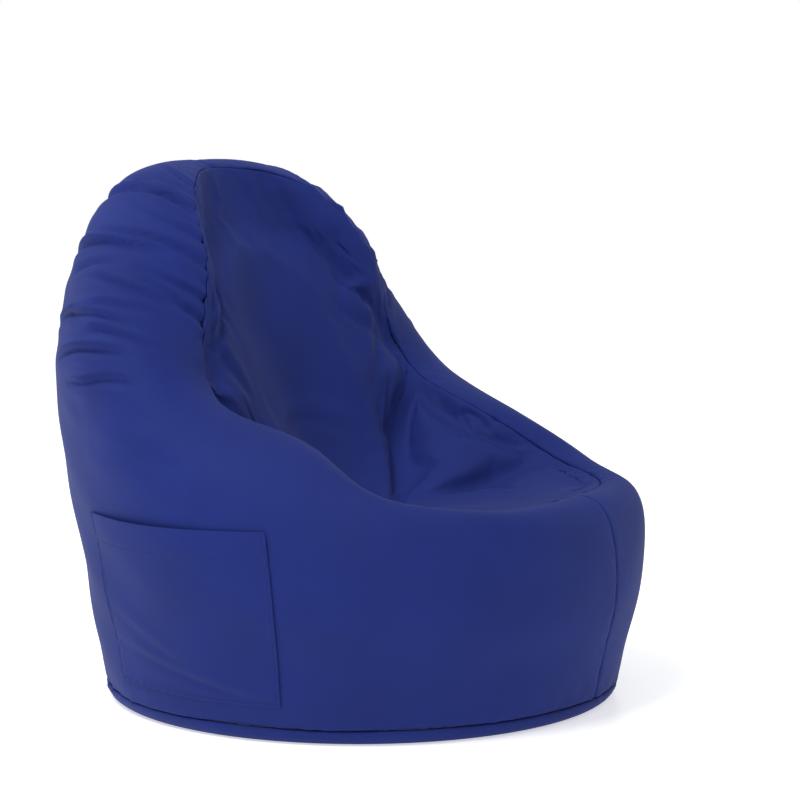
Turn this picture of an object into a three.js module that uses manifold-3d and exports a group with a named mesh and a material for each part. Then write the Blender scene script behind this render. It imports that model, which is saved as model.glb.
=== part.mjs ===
// Bean bag chair with arms, a tall back and a side pocket, in millimetres.
//
// +Z is up, the sitter looks along -Y and the sitter's left is +X. The origin is the centre of the
// round base on the floor. The sewn cover is two mirrored side panels, one seat panel that runs from
// the front edge to the top of the back, and a round base panel. A liner of the same cut lies inside
// it and holds the loose beads. Both bags close with a zip.
//
// Every cloth layer and the filling come from the same three surfaces (side, seat and base), each
// laid at its own depth under the outside of the cover, so a change of size moves them together.

import * as THREE from 'three';
import { mergeVertices } from 'three/addons/utils/BufferGeometryUtils.js';
import Module from 'manifold-3d';

const wasm = await Module();
wasm.setup();

// ---- driving dimensions ------------------------------------------------------------------------

const BASE_RADIUS = 348;
const BASE_SEAM_HEIGHT = 20;      // height of the seam between the base panel and the side panels

const COVER_ZIP_START = 30;       // distance along the back seam from the base seam
const COVER_ZIP_LENGTH = 240;
const SEAM_OVER_ZIP = 33.608;     // straight part of the back seam beyond the zip, for the label

// Shape of the side panels at five places: front, front corner, side, back corner and back. At the
// back the straight part is as long as the zip in it needs.
const BACK_LEAN = 63;
const BACK_STRAIGHT = COVER_ZIP_START + COVER_ZIP_LENGTH + SEAM_OVER_ZIP;
const BACK_RISE = Math.sqrt(BACK_STRAIGHT ** 2 - BACK_LEAN ** 2);
const SKIRT_OUT = [22, 28, 38, 52, BACK_LEAN];        // lean of the straight lower part
const SKIRT_RISE = [100, 112, 150, 314, BACK_RISE];   // height of the straight lower part
const BELLY_PULL = [50, 56, 109, 103, 115];     // how long the bulge carries on above it
const CROWN_OUT = [90, 88, 146, 198, 132];      // roundness of the edge outside the rim seam
const CROWN_UP = [27, 30, 33, 114, 46];         // height of that edge over the rim seam
const SKIRT_SHARE = 0.4;                        // share of the panel's grid on the straight part

// Rim seam between the side panels and the seat panel, from centre front to the top of the back,
// on the sitter's right. The left half is its mirror image.
const RIM = [
  [0, -305, 282], [-172, -275, 282], [-250, -167, 303], [-243, -58, 364], [-256, 55, 416],
  [-238, 94, 500], [-207, 110, 592], [-146, 171, 680], [0, 222, 712],
];
const SEAT_CENTRE = [0, -30, 236];              // lowest point of the seat hollow
const SEAT_ROLL = [70, 60, 45, 40, 50];         // how far the rim rolls inwards before it drops
const SEAT_DROP = 0.42;                         // share of the height lost along that roll
const SEAT_FLAT = 0.62;                         // share of the way out that the seat stays flat

const COVER_THICKNESS = 2;
const LINER_THICKNESS = 1.2;
const LAYER_GAP = 0.5;            // air between two layers of cloth
const SEAM_GAP = 0.5;             // air between two panels along a seam
const ZIP_WELL = 4.2;             // extra room under the cover behind its zip
const LINER_BASE_LIFT = 6;        // extra room between the two base panels for the liner's zip
const BEAD_BASE_LIFT = 9.6;       // extra room under the beads, behind the same zip

const POCKET_FRONT_ANGLE = 75.6;  // degrees from the front, round the sitter's right side
const POCKET_BACK_ANGLE = 122;
const POCKET_BOTTOM = 50;
const POCKET_MOUTH = 270;
const POCKET_THICKNESS = 1.6;
const POCKET_CLEARANCE = 1.2;     // air under the three sewn edges
const POCKET_GAPE = 15;           // how far the middle of the mouth stands off
const TACK_LENGTH = 12;
const TACK_WIDTH = 3;
const TACK_THICKNESS = 1.2;
const POCKET_HEM = 38;            // height of the folded hem at the mouth
const POCKET_BULGE_ACROSS = 0.8;  // powers that shape the bulge towards the middle and the mouth
const POCKET_BULGE_UP = 1.5;
const TACK_INSET = 0.03;          // share of the pocket's width between a tack and its edge

const LINER_ZIP_LENGTH = 240;
const TAPE_DEPTH = 1.1;           // tapes under the inside of the cloth
const TAPE_INNER = 1.1;           // half gap between the two tapes
const TAPE_WIDTH = 15;
const TAPE_THICKNESS = 0.8;
const TEETH_INNER = 0.9;          // half gap between the two rows of teeth
const TEETH_WIDTH = 2.4;
const TEETH_HEIGHT = 1.6;
const ZIP_CLEARANCE = 0.35;       // air between parts of a zip that move or touch
const ZIP_SLOT_HALF = 8;          // half width of the slot in the cloth over the teeth
const SLOT_OVERCUT = 2;           // how far the slot's cutter stands out of the cloth
const ZIP_SLOT_MARGIN = 7;        // how far the slot and tapes run past the teeth
const SLIDER_LENGTH = 13;
const SLIDER_WIDTH = 11;
const SLIDER_NOSE = 7;
const SLIDER_TAPER = 0.2;         // shares of its half length: start of the taper to the nose,
const FLANGE_SHARE = 1.1;         // length of the flanges
const FLANGE_PLACE = 0.4;         // and their middle
const SLIDER_REST = 1;            // air between the slider and the stop when the zip is shut
const SLIDER_PLATE = 1.3;
const SLIDER_POST = 0.8;          // thickness of the post between the rows of teeth
const SLIDER_FLANGE = 1.2;
const STOP_LENGTH = 4;
const BAIL_RADIUS = 0.7;
const BAIL_HEIGHT = 2.6;          // bail axis over the slider's top plate
const PULL_EYE_WIDTH = 3;
const PULL_EYE_WALL = 0.9;
const PULL_LENGTH = 30;
const PULL_WIDTH = 7;
const PULL_THICKNESS = 1.2;

const HANDLE_PLACE = 0.72;        // place up the back, as a share of the side panel's grid
const HANDLE_SPAN = 150;          // between the two ends of the grip
const HANDLE_REACH = 40;          // how far the grip stands off its hinge line
const HANDLE_ARCH = 0.75;         // powers that shape the grip's bow and how soon it widens
const HANDLE_SPREAD = 0.6;
const HANDLE_THICKNESS = 3;
const HANDLE_WIDTH = 25;
const HANDLE_END_WIDTH = 10;      // the webbing is gathered where it is sewn down
const HANDLE_LIFT = 7;            // hinge line over the cover
const HANDLE_DROOP = 60;          // degrees that the grip hangs below straight out
const HANDLE_END_GAP = 2;
const ANCHOR_LENGTH = 34;
const ANCHOR_THICKNESS = 2.5;

const LABEL_WIDTH = 34;
const LABEL_HEIGHT = 22;
const LABEL_THICKNESS = 0.8;
const LABEL_OVER_ZIP = 26;        // distance up the back seam from the end of the zip
const PATCH_CLEARANCE = 1;        // air between the cover and what is sewn flat on it

const STEPS_ROUND = 40;
const SIDE_ROWS = [0, 0.13, 0.27, 0.4, 0.52, 0.64, 0.76, 0.86, 0.94, 1];
const SEAT_ROWS = [0, 0.08, 0.18, 0.32, 0.48, 0.64, 0.82, 1];
const BASE_ROWS = [0, 0.35, 0.7, 0.8, 0.9, 1];
const ROLL_SHARE = 0.3;           // share of the base panel's grid on its rolled edge

// ---- materials ---------------------------------------------------------------------------------

const FINISH = {
  cover: { color: 0x272f76, roughness: 0.78, metalness: 0 },
  thread: { color: 0x232a68, roughness: 0.85, metalness: 0 },
  webbing: { color: 0x20275f, roughness: 0.8, metalness: 0 },
  tape: { color: 0x1f2552, roughness: 0.85, metalness: 0 },
  teeth: { color: 0x1c2148, roughness: 0.45, metalness: 0 },
  slider: { color: 0x8d9096, roughness: 0.35, metalness: 1 },
  liner: { color: 0xe9e9e4, roughness: 0.9, metalness: 0 },
  beads: { color: 0xf4f4f2, roughness: 0.7, metalness: 0 },
  label: { color: 0xf0f0ec, roughness: 0.9, metalness: 0 },
};

function namedMesh(name, finish, geometry) {
  const mesh = new THREE.Mesh(geometry, new THREE.MeshStandardMaterial(FINISH[finish]));
  mesh.name = name;
  return mesh;
}

// ---- curves round the bag ----------------------------------------------------------------------

const UP = new THREE.Vector3(0, 0, 1);
const TURN = 2 * Math.PI;
const wrap = (index, count) => ((index % count) + count) % count;

// Smooth closed curve through evenly spaced values; s runs once round from 0 to 1.
function closedCurve(values, s) {
  const place = s * values.length;
  const step = Math.floor(place);
  const w = place - step;
  const [a, b, c, d] = [-1, 0, 1, 2].map((k) => values[wrap(step + k, values.length)]);
  const startSlope = (c - a) / 2;
  const endSlope = (d - b) / 2;
  return (2 * b - 2 * c + startSlope + endSlope) * w ** 3
    + (-3 * b + 3 * c - 2 * startSlope - endSlope) * w ** 2 + startSlope * w + b;
}

// Values given from front to back, carried on to the front again down the other side.
const mirrored = (values) => [...values, ...values.slice(1, -1).reverse()];
const rimLoop = [...RIM, ...RIM.slice(1, -1).reverse().map(([x, y, z]) => [-x, y, z])];
const around = (values, s) => closedCurve(mirrored(values), s);

function rimPoint(s) {
  return new THREE.Vector3(...[0, 1, 2].map((k) => closedCurve(rimLoop.map((p) => p[k]), s)));
}

// Level direction straight out of the bag. s is 0 at the front and 0.25 at the sitter's right.
const outward = (s) => new THREE.Vector3(-Math.sin(TURN * s), -Math.cos(TURN * s), 0);
const baseSeamPoint = (s) => outward(s).multiplyScalar(BASE_RADIUS).addScaledVector(UP, BASE_SEAM_HEIGHT);

function bezier(a, b, c, d, w) {
  const v = 1 - w;
  return new THREE.Vector3()
    .addScaledVector(a, v ** 3)
    .addScaledVector(b, 3 * v * v * w)
    .addScaledVector(c, 3 * v * w * w)
    .addScaledVector(d, w ** 3);
}

// ---- the three surfaces of the bag, s round it and t across it ---------------------------------
// They follow on from each other: base from the origin to its seam, side up to the rim seam, then
// seat down to the lowest point of the hollow.

// Side panels: t is 0 at the base seam and 1 at the rim seam.
function sidePoint(s, t) {
  const start = baseSeamPoint(s);
  const out = outward(s);
  const belt = start.clone().addScaledVector(out, around(SKIRT_OUT, s))
    .addScaledVector(UP, around(SKIRT_RISE, s));
  if (t < SKIRT_SHARE) return start.lerp(belt, t / SKIRT_SHARE);
  const lean = belt.clone().sub(start).normalize();
  const bulge = belt.clone().addScaledVector(lean, around(BELLY_PULL, s));
  const rim = rimPoint(s);
  const crown = rim.clone().addScaledVector(out, around(CROWN_OUT, s))
    .addScaledVector(UP, around(CROWN_UP, s));
  return bezier(belt, bulge, crown, rim, (t - SKIRT_SHARE) / (1 - SKIRT_SHARE));
}

// Seat panel: t is 0 at the rim seam and 1 at the lowest point of the seat.
function seatPoint(s, t) {
  const rim = rimPoint(s);
  const centre = new THREE.Vector3(...SEAT_CENTRE);
  const rise = rim.z - centre.z;
  const roll = rim.clone().addScaledVector(outward(s), -around(SEAT_ROLL, s))
    .addScaledVector(UP, -rise * SEAT_DROP);
  const flat = rim.clone().sub(centre).setZ(0).multiplyScalar(SEAT_FLAT).add(centre);
  return bezier(rim, roll, flat, centre, t);
}

// Base panel: t is 0 at the origin, flat as far as ROLL_START, then rolls up to the seam at 1.
const ROLL_START = 1 - ROLL_SHARE;
function basePoint(s, t) {
  const flatRadius = BASE_RADIUS - BASE_SEAM_HEIGHT;
  if (t <= ROLL_START) return outward(s).multiplyScalar(flatRadius * (t / ROLL_START));
  const angle = (Math.PI / 2) * ((t - ROLL_START) / ROLL_SHARE);
  const radius = flatRadius + BASE_SEAM_HEIGHT * Math.sin(angle);
  return outward(s).multiplyScalar(radius).setZ(BASE_SEAM_HEIGHT * (1 - Math.cos(angle)));
}

// Outward normal, from the slopes of the surface along s and t.
function normalAt(surface, s, t) {
  const step = 1e-4;
  const alongS = surface(s + step, t).sub(surface(s - step, t));
  const alongT = surface(s, Math.min(t + step, 1)).sub(surface(s, Math.max(t - step, 0)));
  return alongT.cross(alongS).normalize();
}

// Direction in which a layer lies under the bag's outside. Along a seam it is shared by the two
// panels, and long enough that each layer keeps its depth under both.
const seamNormal = (a, b) => a.clone().add(b).divideScalar(1 + a.dot(b));
const rimNormal = (s) => seamNormal(normalAt(sidePoint, s, 1), normalAt(seatPoint, s, 0));
const baseSeamNormal = (s) => seamNormal(normalAt(sidePoint, s, 0), normalAt(basePoint, s, 1));

function layerNormal(surface, s, t) {
  if (surface === basePoint && t <= ROLL_START) return UP.clone().negate();
  if (surface === basePoint && t === 1) return baseSeamNormal(s);
  if (surface === sidePoint && t === 0) return baseSeamNormal(s);
  if (surface === sidePoint && t === 1) return rimNormal(s);
  if (surface === seatPoint && t === 0) return rimNormal(s);
  if (surface === seatPoint && t === 1) return UP.clone();
  return normalAt(surface, s, t);
}

// Extra depth behind the cover's zip, fading out on both sides of the back seam.
const WELL_HALF = ZIP_SLOT_HALF + TAPE_WIDTH;
const WELL_FADE = 40;
function wellDepth(surface, s, t) {
  const share = THREE.MathUtils.clamp;
  const across = Math.abs(s - 0.5) * TURN * BASE_RADIUS;
  const sideways = share(1 - (across - WELL_HALF) / WELL_FADE, 0, 1);
  if (surface === sidePoint) return ZIP_WELL * sideways * share((1 - t) / (1 - SKIRT_SHARE), 0, 1);
  return surface === basePoint ? ZIP_WELL * sideways * share((t - ROLL_START) / ROLL_SHARE, 0, 1) : 0;
}

function layerPoint(surface, s, t, layer) {
  const well = layer.behindZip ? wellDepth(surface, s, t) : 0;
  const point = surface(s, t).addScaledVector(layerNormal(surface, s, t), -(layer.depth + well));
  if (layer.lift && surface === basePoint) {
    point.z += layer.lift * Math.min((1 - t) / ROLL_SHARE, 1);
  }
  return point;
}

// ---- closed bodies from grids of points --------------------------------------------------------

const MERGE_DISTANCE = 1e-4;

function geometryFromTriangles(points) {
  const geometry = new THREE.BufferGeometry();
  const positions = points.flatMap((p) => [p.x, p.y, p.z]);
  geometry.setAttribute('position', new THREE.Float32BufferAttribute(positions, 3));
  return mergeVertices(geometry, MERGE_DISTANCE);
}

function pushQuad(points, a, b, c, d) {
  const apart = (p, q) => p.distanceTo(q) > MERGE_DISTANCE;
  if (apart(a, b) && apart(b, c) && apart(a, c)) points.push(a, b, c);
  if (apart(a, c) && apart(c, d) && apart(a, d)) points.push(a, c, d);
}

// Faces of one grid, seen from the side that (row step) x (column step) points to.
function pushGrid(points, grid, closed, flipped = false) {
  const columns = closed ? grid.length : grid.length - 1;
  for (let i = 0; i < columns; i += 1) {
    const [near, next] = [grid[i], grid[(i + 1) % grid.length]];
    for (let j = 0; j < near.length - 1; j += 1) {
      if (flipped) pushQuad(points, near[j], next[j], next[j + 1], near[j + 1]);
      else pushQuad(points, near[j], near[j + 1], next[j + 1], next[j]);
    }
  }
}

// A sheet of cloth: two grids of the same shape, joined along the sheet's free edges.
function shell(outer, inner, closed) {
  const points = [];
  pushGrid(points, outer, closed);
  pushGrid(points, inner, closed, true);
  const columns = closed ? outer.length : outer.length - 1;
  const last = outer[0].length - 1;
  for (let i = 0; i < columns; i += 1) {
    const k = (i + 1) % outer.length;
    pushQuad(points, outer[i][0], outer[k][0], inner[k][0], inner[i][0]);
    pushQuad(points, outer[k][last], outer[i][last], inner[i][last], inner[k][last]);
  }
  if (!closed) {
    const end = outer.length - 1;
    for (let j = 0; j < last; j += 1) {
      pushQuad(points, outer[0][j + 1], outer[0][j], inner[0][j], inner[0][j + 1]);
      pushQuad(points, outer[end][j], outer[end][j + 1], inner[end][j + 1], inner[end][j]);
    }
  }
  return geometryFromTriangles(points);
}

// A tube through sections that all have the same number of points, closed at both ends.
function loft(sections) {
  const points = [];
  const ring = sections.map((section) => [...section, section[0]]);
  pushGrid(points, ring, false);
  const [first, last] = [sections[0], sections[sections.length - 1]];
  for (let k = 1; k < first.length - 1; k += 1) {
    points.push(first[0], first[k + 1], first[k]);
    points.push(last[0], last[k], last[k + 1]);
  }
  return geometryFromTriangles(points);
}

function toSolid(geometry) {
  const bare = geometry.clone();
  bare.deleteAttribute('normal');
  bare.deleteAttribute('uv');
  const merged = mergeVertices(bare, MERGE_DISTANCE);
  return new wasm.Manifold(new wasm.Mesh({
    numProp: 3,
    vertProperties: new Float32Array(merged.attributes.position.array),
    triVerts: new Uint32Array(merged.index.array),
  }));
}

function fromSolid(solid) {
  const mesh = solid.getMesh();
  const geometry = new THREE.BufferGeometry();
  geometry.setAttribute('position', new THREE.BufferAttribute(mesh.vertProperties, 3));
  geometry.setIndex(new THREE.BufferAttribute(mesh.triVerts, 1));
  return geometry;
}

const cutFrom = (geometry, tool) => fromSolid(toSolid(geometry).subtract(toSolid(tool)));
const joined = (pieces) => fromSolid(pieces.map(toSolid).reduce((sum, piece) => sum.add(piece)));

function boxAt(sizeX, sizeY, sizeZ, x, y, z) {
  return new THREE.BoxGeometry(sizeX, sizeY, sizeZ).translate(x, y, z);
}

// ---- columns and rows of the bag's grids -------------------------------------------------------

// Even steps round the bag, with one more column each side of the back seam beyond the zip's tape.
const flatShare = WELL_HALF / (TURN * BASE_RADIUS);
const evenColumns = Array.from({ length: STEPS_ROUND }, (_, k) => k / STEPS_ROUND);
const columnsRound = [...evenColumns, 0.5 - flatShare, 0.5 + flatShare].sort((a, b) => a - b);
const columnsRight = [...columnsRound.filter((s) => s < 0.5), 0.5];
const columnsLeft = [...columnsRound.filter((s) => s >= 0.5), 1];

// Rows of a panel's grid that lie on a seam.
function seamRows(surface, rows) {
  const last = rows.length - 1;
  if (surface === sidePoint) return [0, last];
  return surface === seatPoint ? [0] : [last];
}

// One panel of a layer. Points on a seam step back from it by half of the seam's gap.
function panelGrid(surface, columns, rows, layer, extraDepth) {
  const depth = { ...layer, depth: layer.depth + extraDepth };
  return columns.map((s, k) => {
    const column = rows.map((t) => layerPoint(surface, s, t, depth));
    for (const end of seamRows(surface, rows)) {
      const neighbour = end === 0 ? 1 : end - 1;
      const back = surface(s, rows[neighbour]).sub(surface(s, rows[end])).normalize();
      column[end].addScaledVector(back, SEAM_GAP / 2);
    }
    if (surface === sidePoint && (k === 0 || k === columns.length - 1)) {
      const side = columns[0] < 0.5 ? -1 : 1;
      column.forEach((point) => point.setX(side * SEAM_GAP / 2));
    }
    return column;
  });
}

function panel(surface, columns, rows, layer) {
  const closed = surface !== sidePoint;
  const outer = panelGrid(surface, columns, rows, layer, 0);
  const inner = panelGrid(surface, columns, rows, layer, layer.thickness);
  return shell(outer, inner, closed);
}

// Mirror image of a body across the chair's middle plane, with its faces turned outwards again.
function mirrorX(geometry) {
  const copy = geometry.clone().scale(-1, 1, 1);
  const order = copy.index.array.slice();
  for (let k = 0; k < order.length; k += 3) [order[k + 1], order[k + 2]] = [order[k + 2], order[k + 1]];
  copy.setIndex(new THREE.BufferAttribute(order, 1));
  return copy;
}

const coverLayer = { depth: 0, thickness: COVER_THICKNESS };
const linerLayer = {
  depth: COVER_THICKNESS + LAYER_GAP,
  thickness: LINER_THICKNESS,
  behindZip: true,
  lift: LINER_BASE_LIFT,
};
const fillingLayer = {
  depth: linerLayer.depth + LINER_THICKNESS + LAYER_GAP, behindZip: true, lift: BEAD_BASE_LIFT,
};

// ---- zips --------------------------------------------------------------------------------------

// Heights in a zip's own frame: 0 is the outside of the cloth that the zip closes, X runs across
// the zip, Y along it and Z out of the bag.
const tapeTop = (cloth) => -(cloth + TAPE_DEPTH);
const teethLow = (cloth) => tapeTop(cloth) + ZIP_CLEARANCE;
const teethTop = (cloth) => teethLow(cloth) + TEETH_HEIGHT;
const plateLow = (cloth) => teethTop(cloth) + ZIP_CLEARANCE;
const plateTop = (cloth) => plateLow(cloth) + SLIDER_PLATE;
const underPlateTop = (cloth) => tapeTop(cloth) - TAPE_THICKNESS - ZIP_CLEARANCE;
const sliderStart = STOP_LENGTH + SLIDER_REST + SLIDER_LENGTH / 2;

// Outline of the slider's plates: square at the tail, narrower at the nose.
function sliderPlate(low) {
  const half = SLIDER_LENGTH / 2;
  const outline = new THREE.Shape([
    new THREE.Vector2(-SLIDER_WIDTH / 2, -half * SLIDER_TAPER), new THREE.Vector2(-SLIDER_NOSE / 2, -half),
    new THREE.Vector2(SLIDER_NOSE / 2, -half), new THREE.Vector2(SLIDER_WIDTH / 2, -half * SLIDER_TAPER),
    new THREE.Vector2(SLIDER_WIDTH / 2, half), new THREE.Vector2(-SLIDER_WIDTH / 2, half),
  ]);
  return new THREE.ExtrudeGeometry(outline, { depth: SLIDER_PLATE, bevelEnabled: false })
    .translate(0, 0, low);
}

// Two plates with a thin post between them, side flanges and a bail for the pull.
function sliderGeometry(cloth) {
  const low = underPlateTop(cloth);
  const top = plateTop(cloth);
  const half = SLIDER_LENGTH / 2;
  const overlap = SLIDER_PLATE / 2;
  const postHeight = plateLow(cloth) - low + 2 * overlap;
  const flangeHeight = plateLow(cloth) - tapeTop(cloth) - 2 * ZIP_CLEARANCE;
  const pieces = [
    sliderPlate(plateLow(cloth)),
    sliderPlate(low - SLIDER_PLATE),
    boxAt(SLIDER_POST, half, postHeight, 0, half / 2, low - overlap + postHeight / 2),
  ];
  for (const side of [-1, 1]) {
    const x = side * (SLIDER_WIDTH - SLIDER_FLANGE) / 2;
    const height = flangeHeight + overlap;
    pieces.push(boxAt(SLIDER_FLANGE, half * FLANGE_SHARE, height, x, half * FLANGE_PLACE,
      plateLow(cloth) + overlap - height / 2));
    const lug = side * (PULL_EYE_WIDTH / 2 + ZIP_CLEARANCE + SLIDER_FLANGE / 2);
    const lugHeight = BAIL_HEIGHT + 2 * BAIL_RADIUS + overlap;
    pieces.push(boxAt(SLIDER_FLANGE, 4 * BAIL_RADIUS, lugHeight, lug, 0, top - overlap + lugHeight / 2));
  }
  const barLength = PULL_EYE_WIDTH + 2 * ZIP_CLEARANCE + SLIDER_FLANGE;
  pieces.push(new THREE.CylinderGeometry(BAIL_RADIUS, BAIL_RADIUS, barLength, 12)
    .rotateZ(Math.PI / 2).translate(0, 0, top + BAIL_HEIGHT));
  return joined(pieces);
}

// Pull tab: an eye round the bail's bar and a flat tab with a slot, made at the eye's axis.
function pullGeometry() {
  const inner = BAIL_RADIUS + ZIP_CLEARANCE;
  const outer = inner + PULL_EYE_WALL;
  const half = PULL_EYE_WIDTH / 2;
  const section = [[inner, -half], [outer, -half], [outer, half], [inner, half], [inner, -half]];
  const eye = new THREE.LatheGeometry(section.map(([r, h]) => new THREE.Vector2(r, h)), 16)
    .rotateZ(Math.PI / 2);
  const round = PULL_WIDTH / 2;
  const tab = new THREE.Shape();
  tab.moveTo(-half, -inner - PULL_EYE_WALL / 2);
  tab.lineTo(-round, -outer - round);
  tab.lineTo(-round, -PULL_LENGTH + round);
  tab.absarc(0, -PULL_LENGTH + round, round, Math.PI, TURN, false);
  tab.lineTo(round, -outer - round);
  tab.lineTo(half, -inner - PULL_EYE_WALL / 2);
  const slot = new THREE.Path();
  const slotRadius = round * 0.4;
  slot.absarc(0, -PULL_LENGTH + 2 * round, slotRadius, Math.PI, TURN, false);
  slot.absarc(0, -PULL_LENGTH / 2, slotRadius, 0, Math.PI, false);
  tab.holes.push(slot);
  const plate = new THREE.ExtrudeGeometry(tab, {
    depth: PULL_THICKNESS, bevelEnabled: false, curveSegments: 8,
  }).translate(0, 0, -PULL_THICKNESS / 2);
  return joined([eye, plate]);
}

// A whole closed zip. The pull hangs from its bail at pullAngle degrees to the zip's line.
function makeZip(prefix, sides, length, cloth, pullAngle) {
  const zip = new THREE.Group();
  const middle = length / 2;
  const tapeLength = length + ZIP_SLOT_MARGIN;
  sides.forEach((side, k) => {
    const sign = k === 0 ? -1 : 1;
    const tapeX = sign * (TAPE_INNER + TAPE_WIDTH / 2);
    const teethX = sign * (TEETH_INNER + TEETH_WIDTH / 2);
    zip.add(namedMesh(`${prefix}_zip_tape_${side}`, 'tape', boxAt(
      TAPE_WIDTH, tapeLength, TAPE_THICKNESS, tapeX, middle, tapeTop(cloth) - TAPE_THICKNESS / 2)));
    zip.add(namedMesh(`${prefix}_zip_teeth_${side}`, 'teeth', boxAt(
      TEETH_WIDTH, length - 2 * STOP_LENGTH - 2 * ZIP_CLEARANCE, TEETH_HEIGHT,
      teethX, middle, teethLow(cloth) + TEETH_HEIGHT / 2)));
  });
  const stopWidth = 2 * (TEETH_INNER + TEETH_WIDTH);
  for (const [end, y] of [['closed', STOP_LENGTH / 2], ['open', length - STOP_LENGTH / 2]]) {
    zip.add(namedMesh(`${prefix}_zip_stop_${end}`, 'slider', boxAt(
      stopWidth, STOP_LENGTH, TEETH_HEIGHT, 0, y, teethLow(cloth) + TEETH_HEIGHT / 2)));
  }
  const slider = namedMesh(`${prefix}_zip_slider`, 'slider', sliderGeometry(cloth));
  slider.position.set(0, sliderStart, 0);
  zip.add(slider);
  const pull = namedMesh(`${prefix}_zip_pull`, 'slider', pullGeometry());
  pull.position.set(0, sliderStart, plateTop(cloth) + BAIL_HEIGHT);
  pull.rotation.x = THREE.MathUtils.degToRad(pullAngle);
  zip.add(pull);
  return zip;
}

// Turns and places a zip: along its closing line, with its face out of the bag.
function placeZip(zip, origin, along, out) {
  const basis = new THREE.Matrix4().makeBasis(along.clone().cross(out), along, out);
  zip.quaternion.setFromRotationMatrix(basis);
  zip.position.copy(origin);
}

// Slot in the cloth over a zip's teeth, in the place of that zip.
function slotTool(zip, length, deep) {
  const slot = boxAt(2 * ZIP_SLOT_HALF, length + ZIP_SLOT_MARGIN, 2 * deep, 0, length / 2, 0);
  zip.updateMatrix();
  return slot.applyMatrix4(zip.matrix);
}

// ---- sub-assemblies ----------------------------------------------------------------------------

const chair = new THREE.Group();

const backSeamStart = sidePoint(0.5, 0);
const backSeamLine = sidePoint(0.5, SKIRT_SHARE).sub(backSeamStart).normalize();
const backSeamOut = new THREE.Vector3(0, backSeamLine.z, -backSeamLine.y);
const backLean = THREE.MathUtils.radToDeg(Math.atan2(backSeamLine.y, backSeamLine.z));

// The cover's pull hangs plumb, so it stands off the leaning seam by the seam's own lean.
const coverZip = makeZip('cover', ['left', 'right'], COVER_ZIP_LENGTH, COVER_THICKNESS, -backLean);
placeZip(coverZip, backSeamStart.clone().addScaledVector(backSeamLine, COVER_ZIP_START),
  backSeamLine, backSeamOut);

function buildCover() {
  const cover = new THREE.Group();
  const slot = slotTool(coverZip, COVER_ZIP_LENGTH, COVER_THICKNESS + SLOT_OVERCUT);
  const sidePanel = (columns) => cutFrom(panel(sidePoint, columns, SIDE_ROWS, coverLayer), slot);
  cover.add(
    namedMesh('side_panel_right', 'cover', sidePanel(columnsRight)),
    namedMesh('side_panel_left', 'cover', sidePanel(columnsLeft)),
    namedMesh('seat_panel', 'cover', panel(seatPoint, columnsRound, SEAT_ROWS, coverLayer)),
    namedMesh('base_panel', 'cover', panel(basePoint, columnsRound, BASE_ROWS, coverLayer)),
    coverZip,
  );
  return cover;
}

function buildLiner() {
  const liner = new THREE.Group();
  const baseHeight = linerLayer.depth + linerLayer.lift;
  const zip = makeZip('liner', ['back', 'front'], LINER_ZIP_LENGTH, LINER_THICKNESS, 0);
  placeZip(zip, new THREE.Vector3(-LINER_ZIP_LENGTH / 2, 0, baseHeight),
    new THREE.Vector3(1, 0, 0), UP.clone().negate());
  const base = panel(basePoint, columnsRound, BASE_ROWS, linerLayer);
  const sidePanel = (columns) => panel(sidePoint, columns, SIDE_ROWS, linerLayer);
  liner.add(
    namedMesh('liner_panel_right', 'liner', sidePanel(columnsRight)),
    namedMesh('liner_panel_left', 'liner', sidePanel(columnsLeft)),
    namedMesh('liner_seat_panel', 'liner', panel(seatPoint, columnsRound, SEAT_ROWS, linerLayer)),
    namedMesh('liner_base_panel', 'liner', cutFrom(base, slotTool(zip, LINER_ZIP_LENGTH, baseHeight))),
    zip,
  );
  return liner;
}

// The beads fill the liner as one loose mass.
function buildFilling() {
  const part = (surface, s, rows) => rows.map((t) => layerPoint(surface, s, t, fillingLayer));
  const grid = columnsRound.map((s) => [
    ...part(basePoint, s, BASE_ROWS),
    ...part(sidePoint, s, SIDE_ROWS.slice(1)),
    ...part(seatPoint, s, SEAT_ROWS.slice(1)),
  ]);
  const points = [];
  pushGrid(points, grid, true);
  return namedMesh('bead_filling', 'beads', geometryFromTriangles(points));
}

// Place on a side panel at a stated height, below the bag's crown.
function sideShareAtHeight(s, height) {
  let [low, high] = [0, 0.8];
  for (let k = 0; k < 40; k += 1) {
    const middle = (low + high) / 2;
    if (sidePoint(s, middle).z < height) low = middle;
    else high = middle;
  }
  return low;
}

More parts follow.
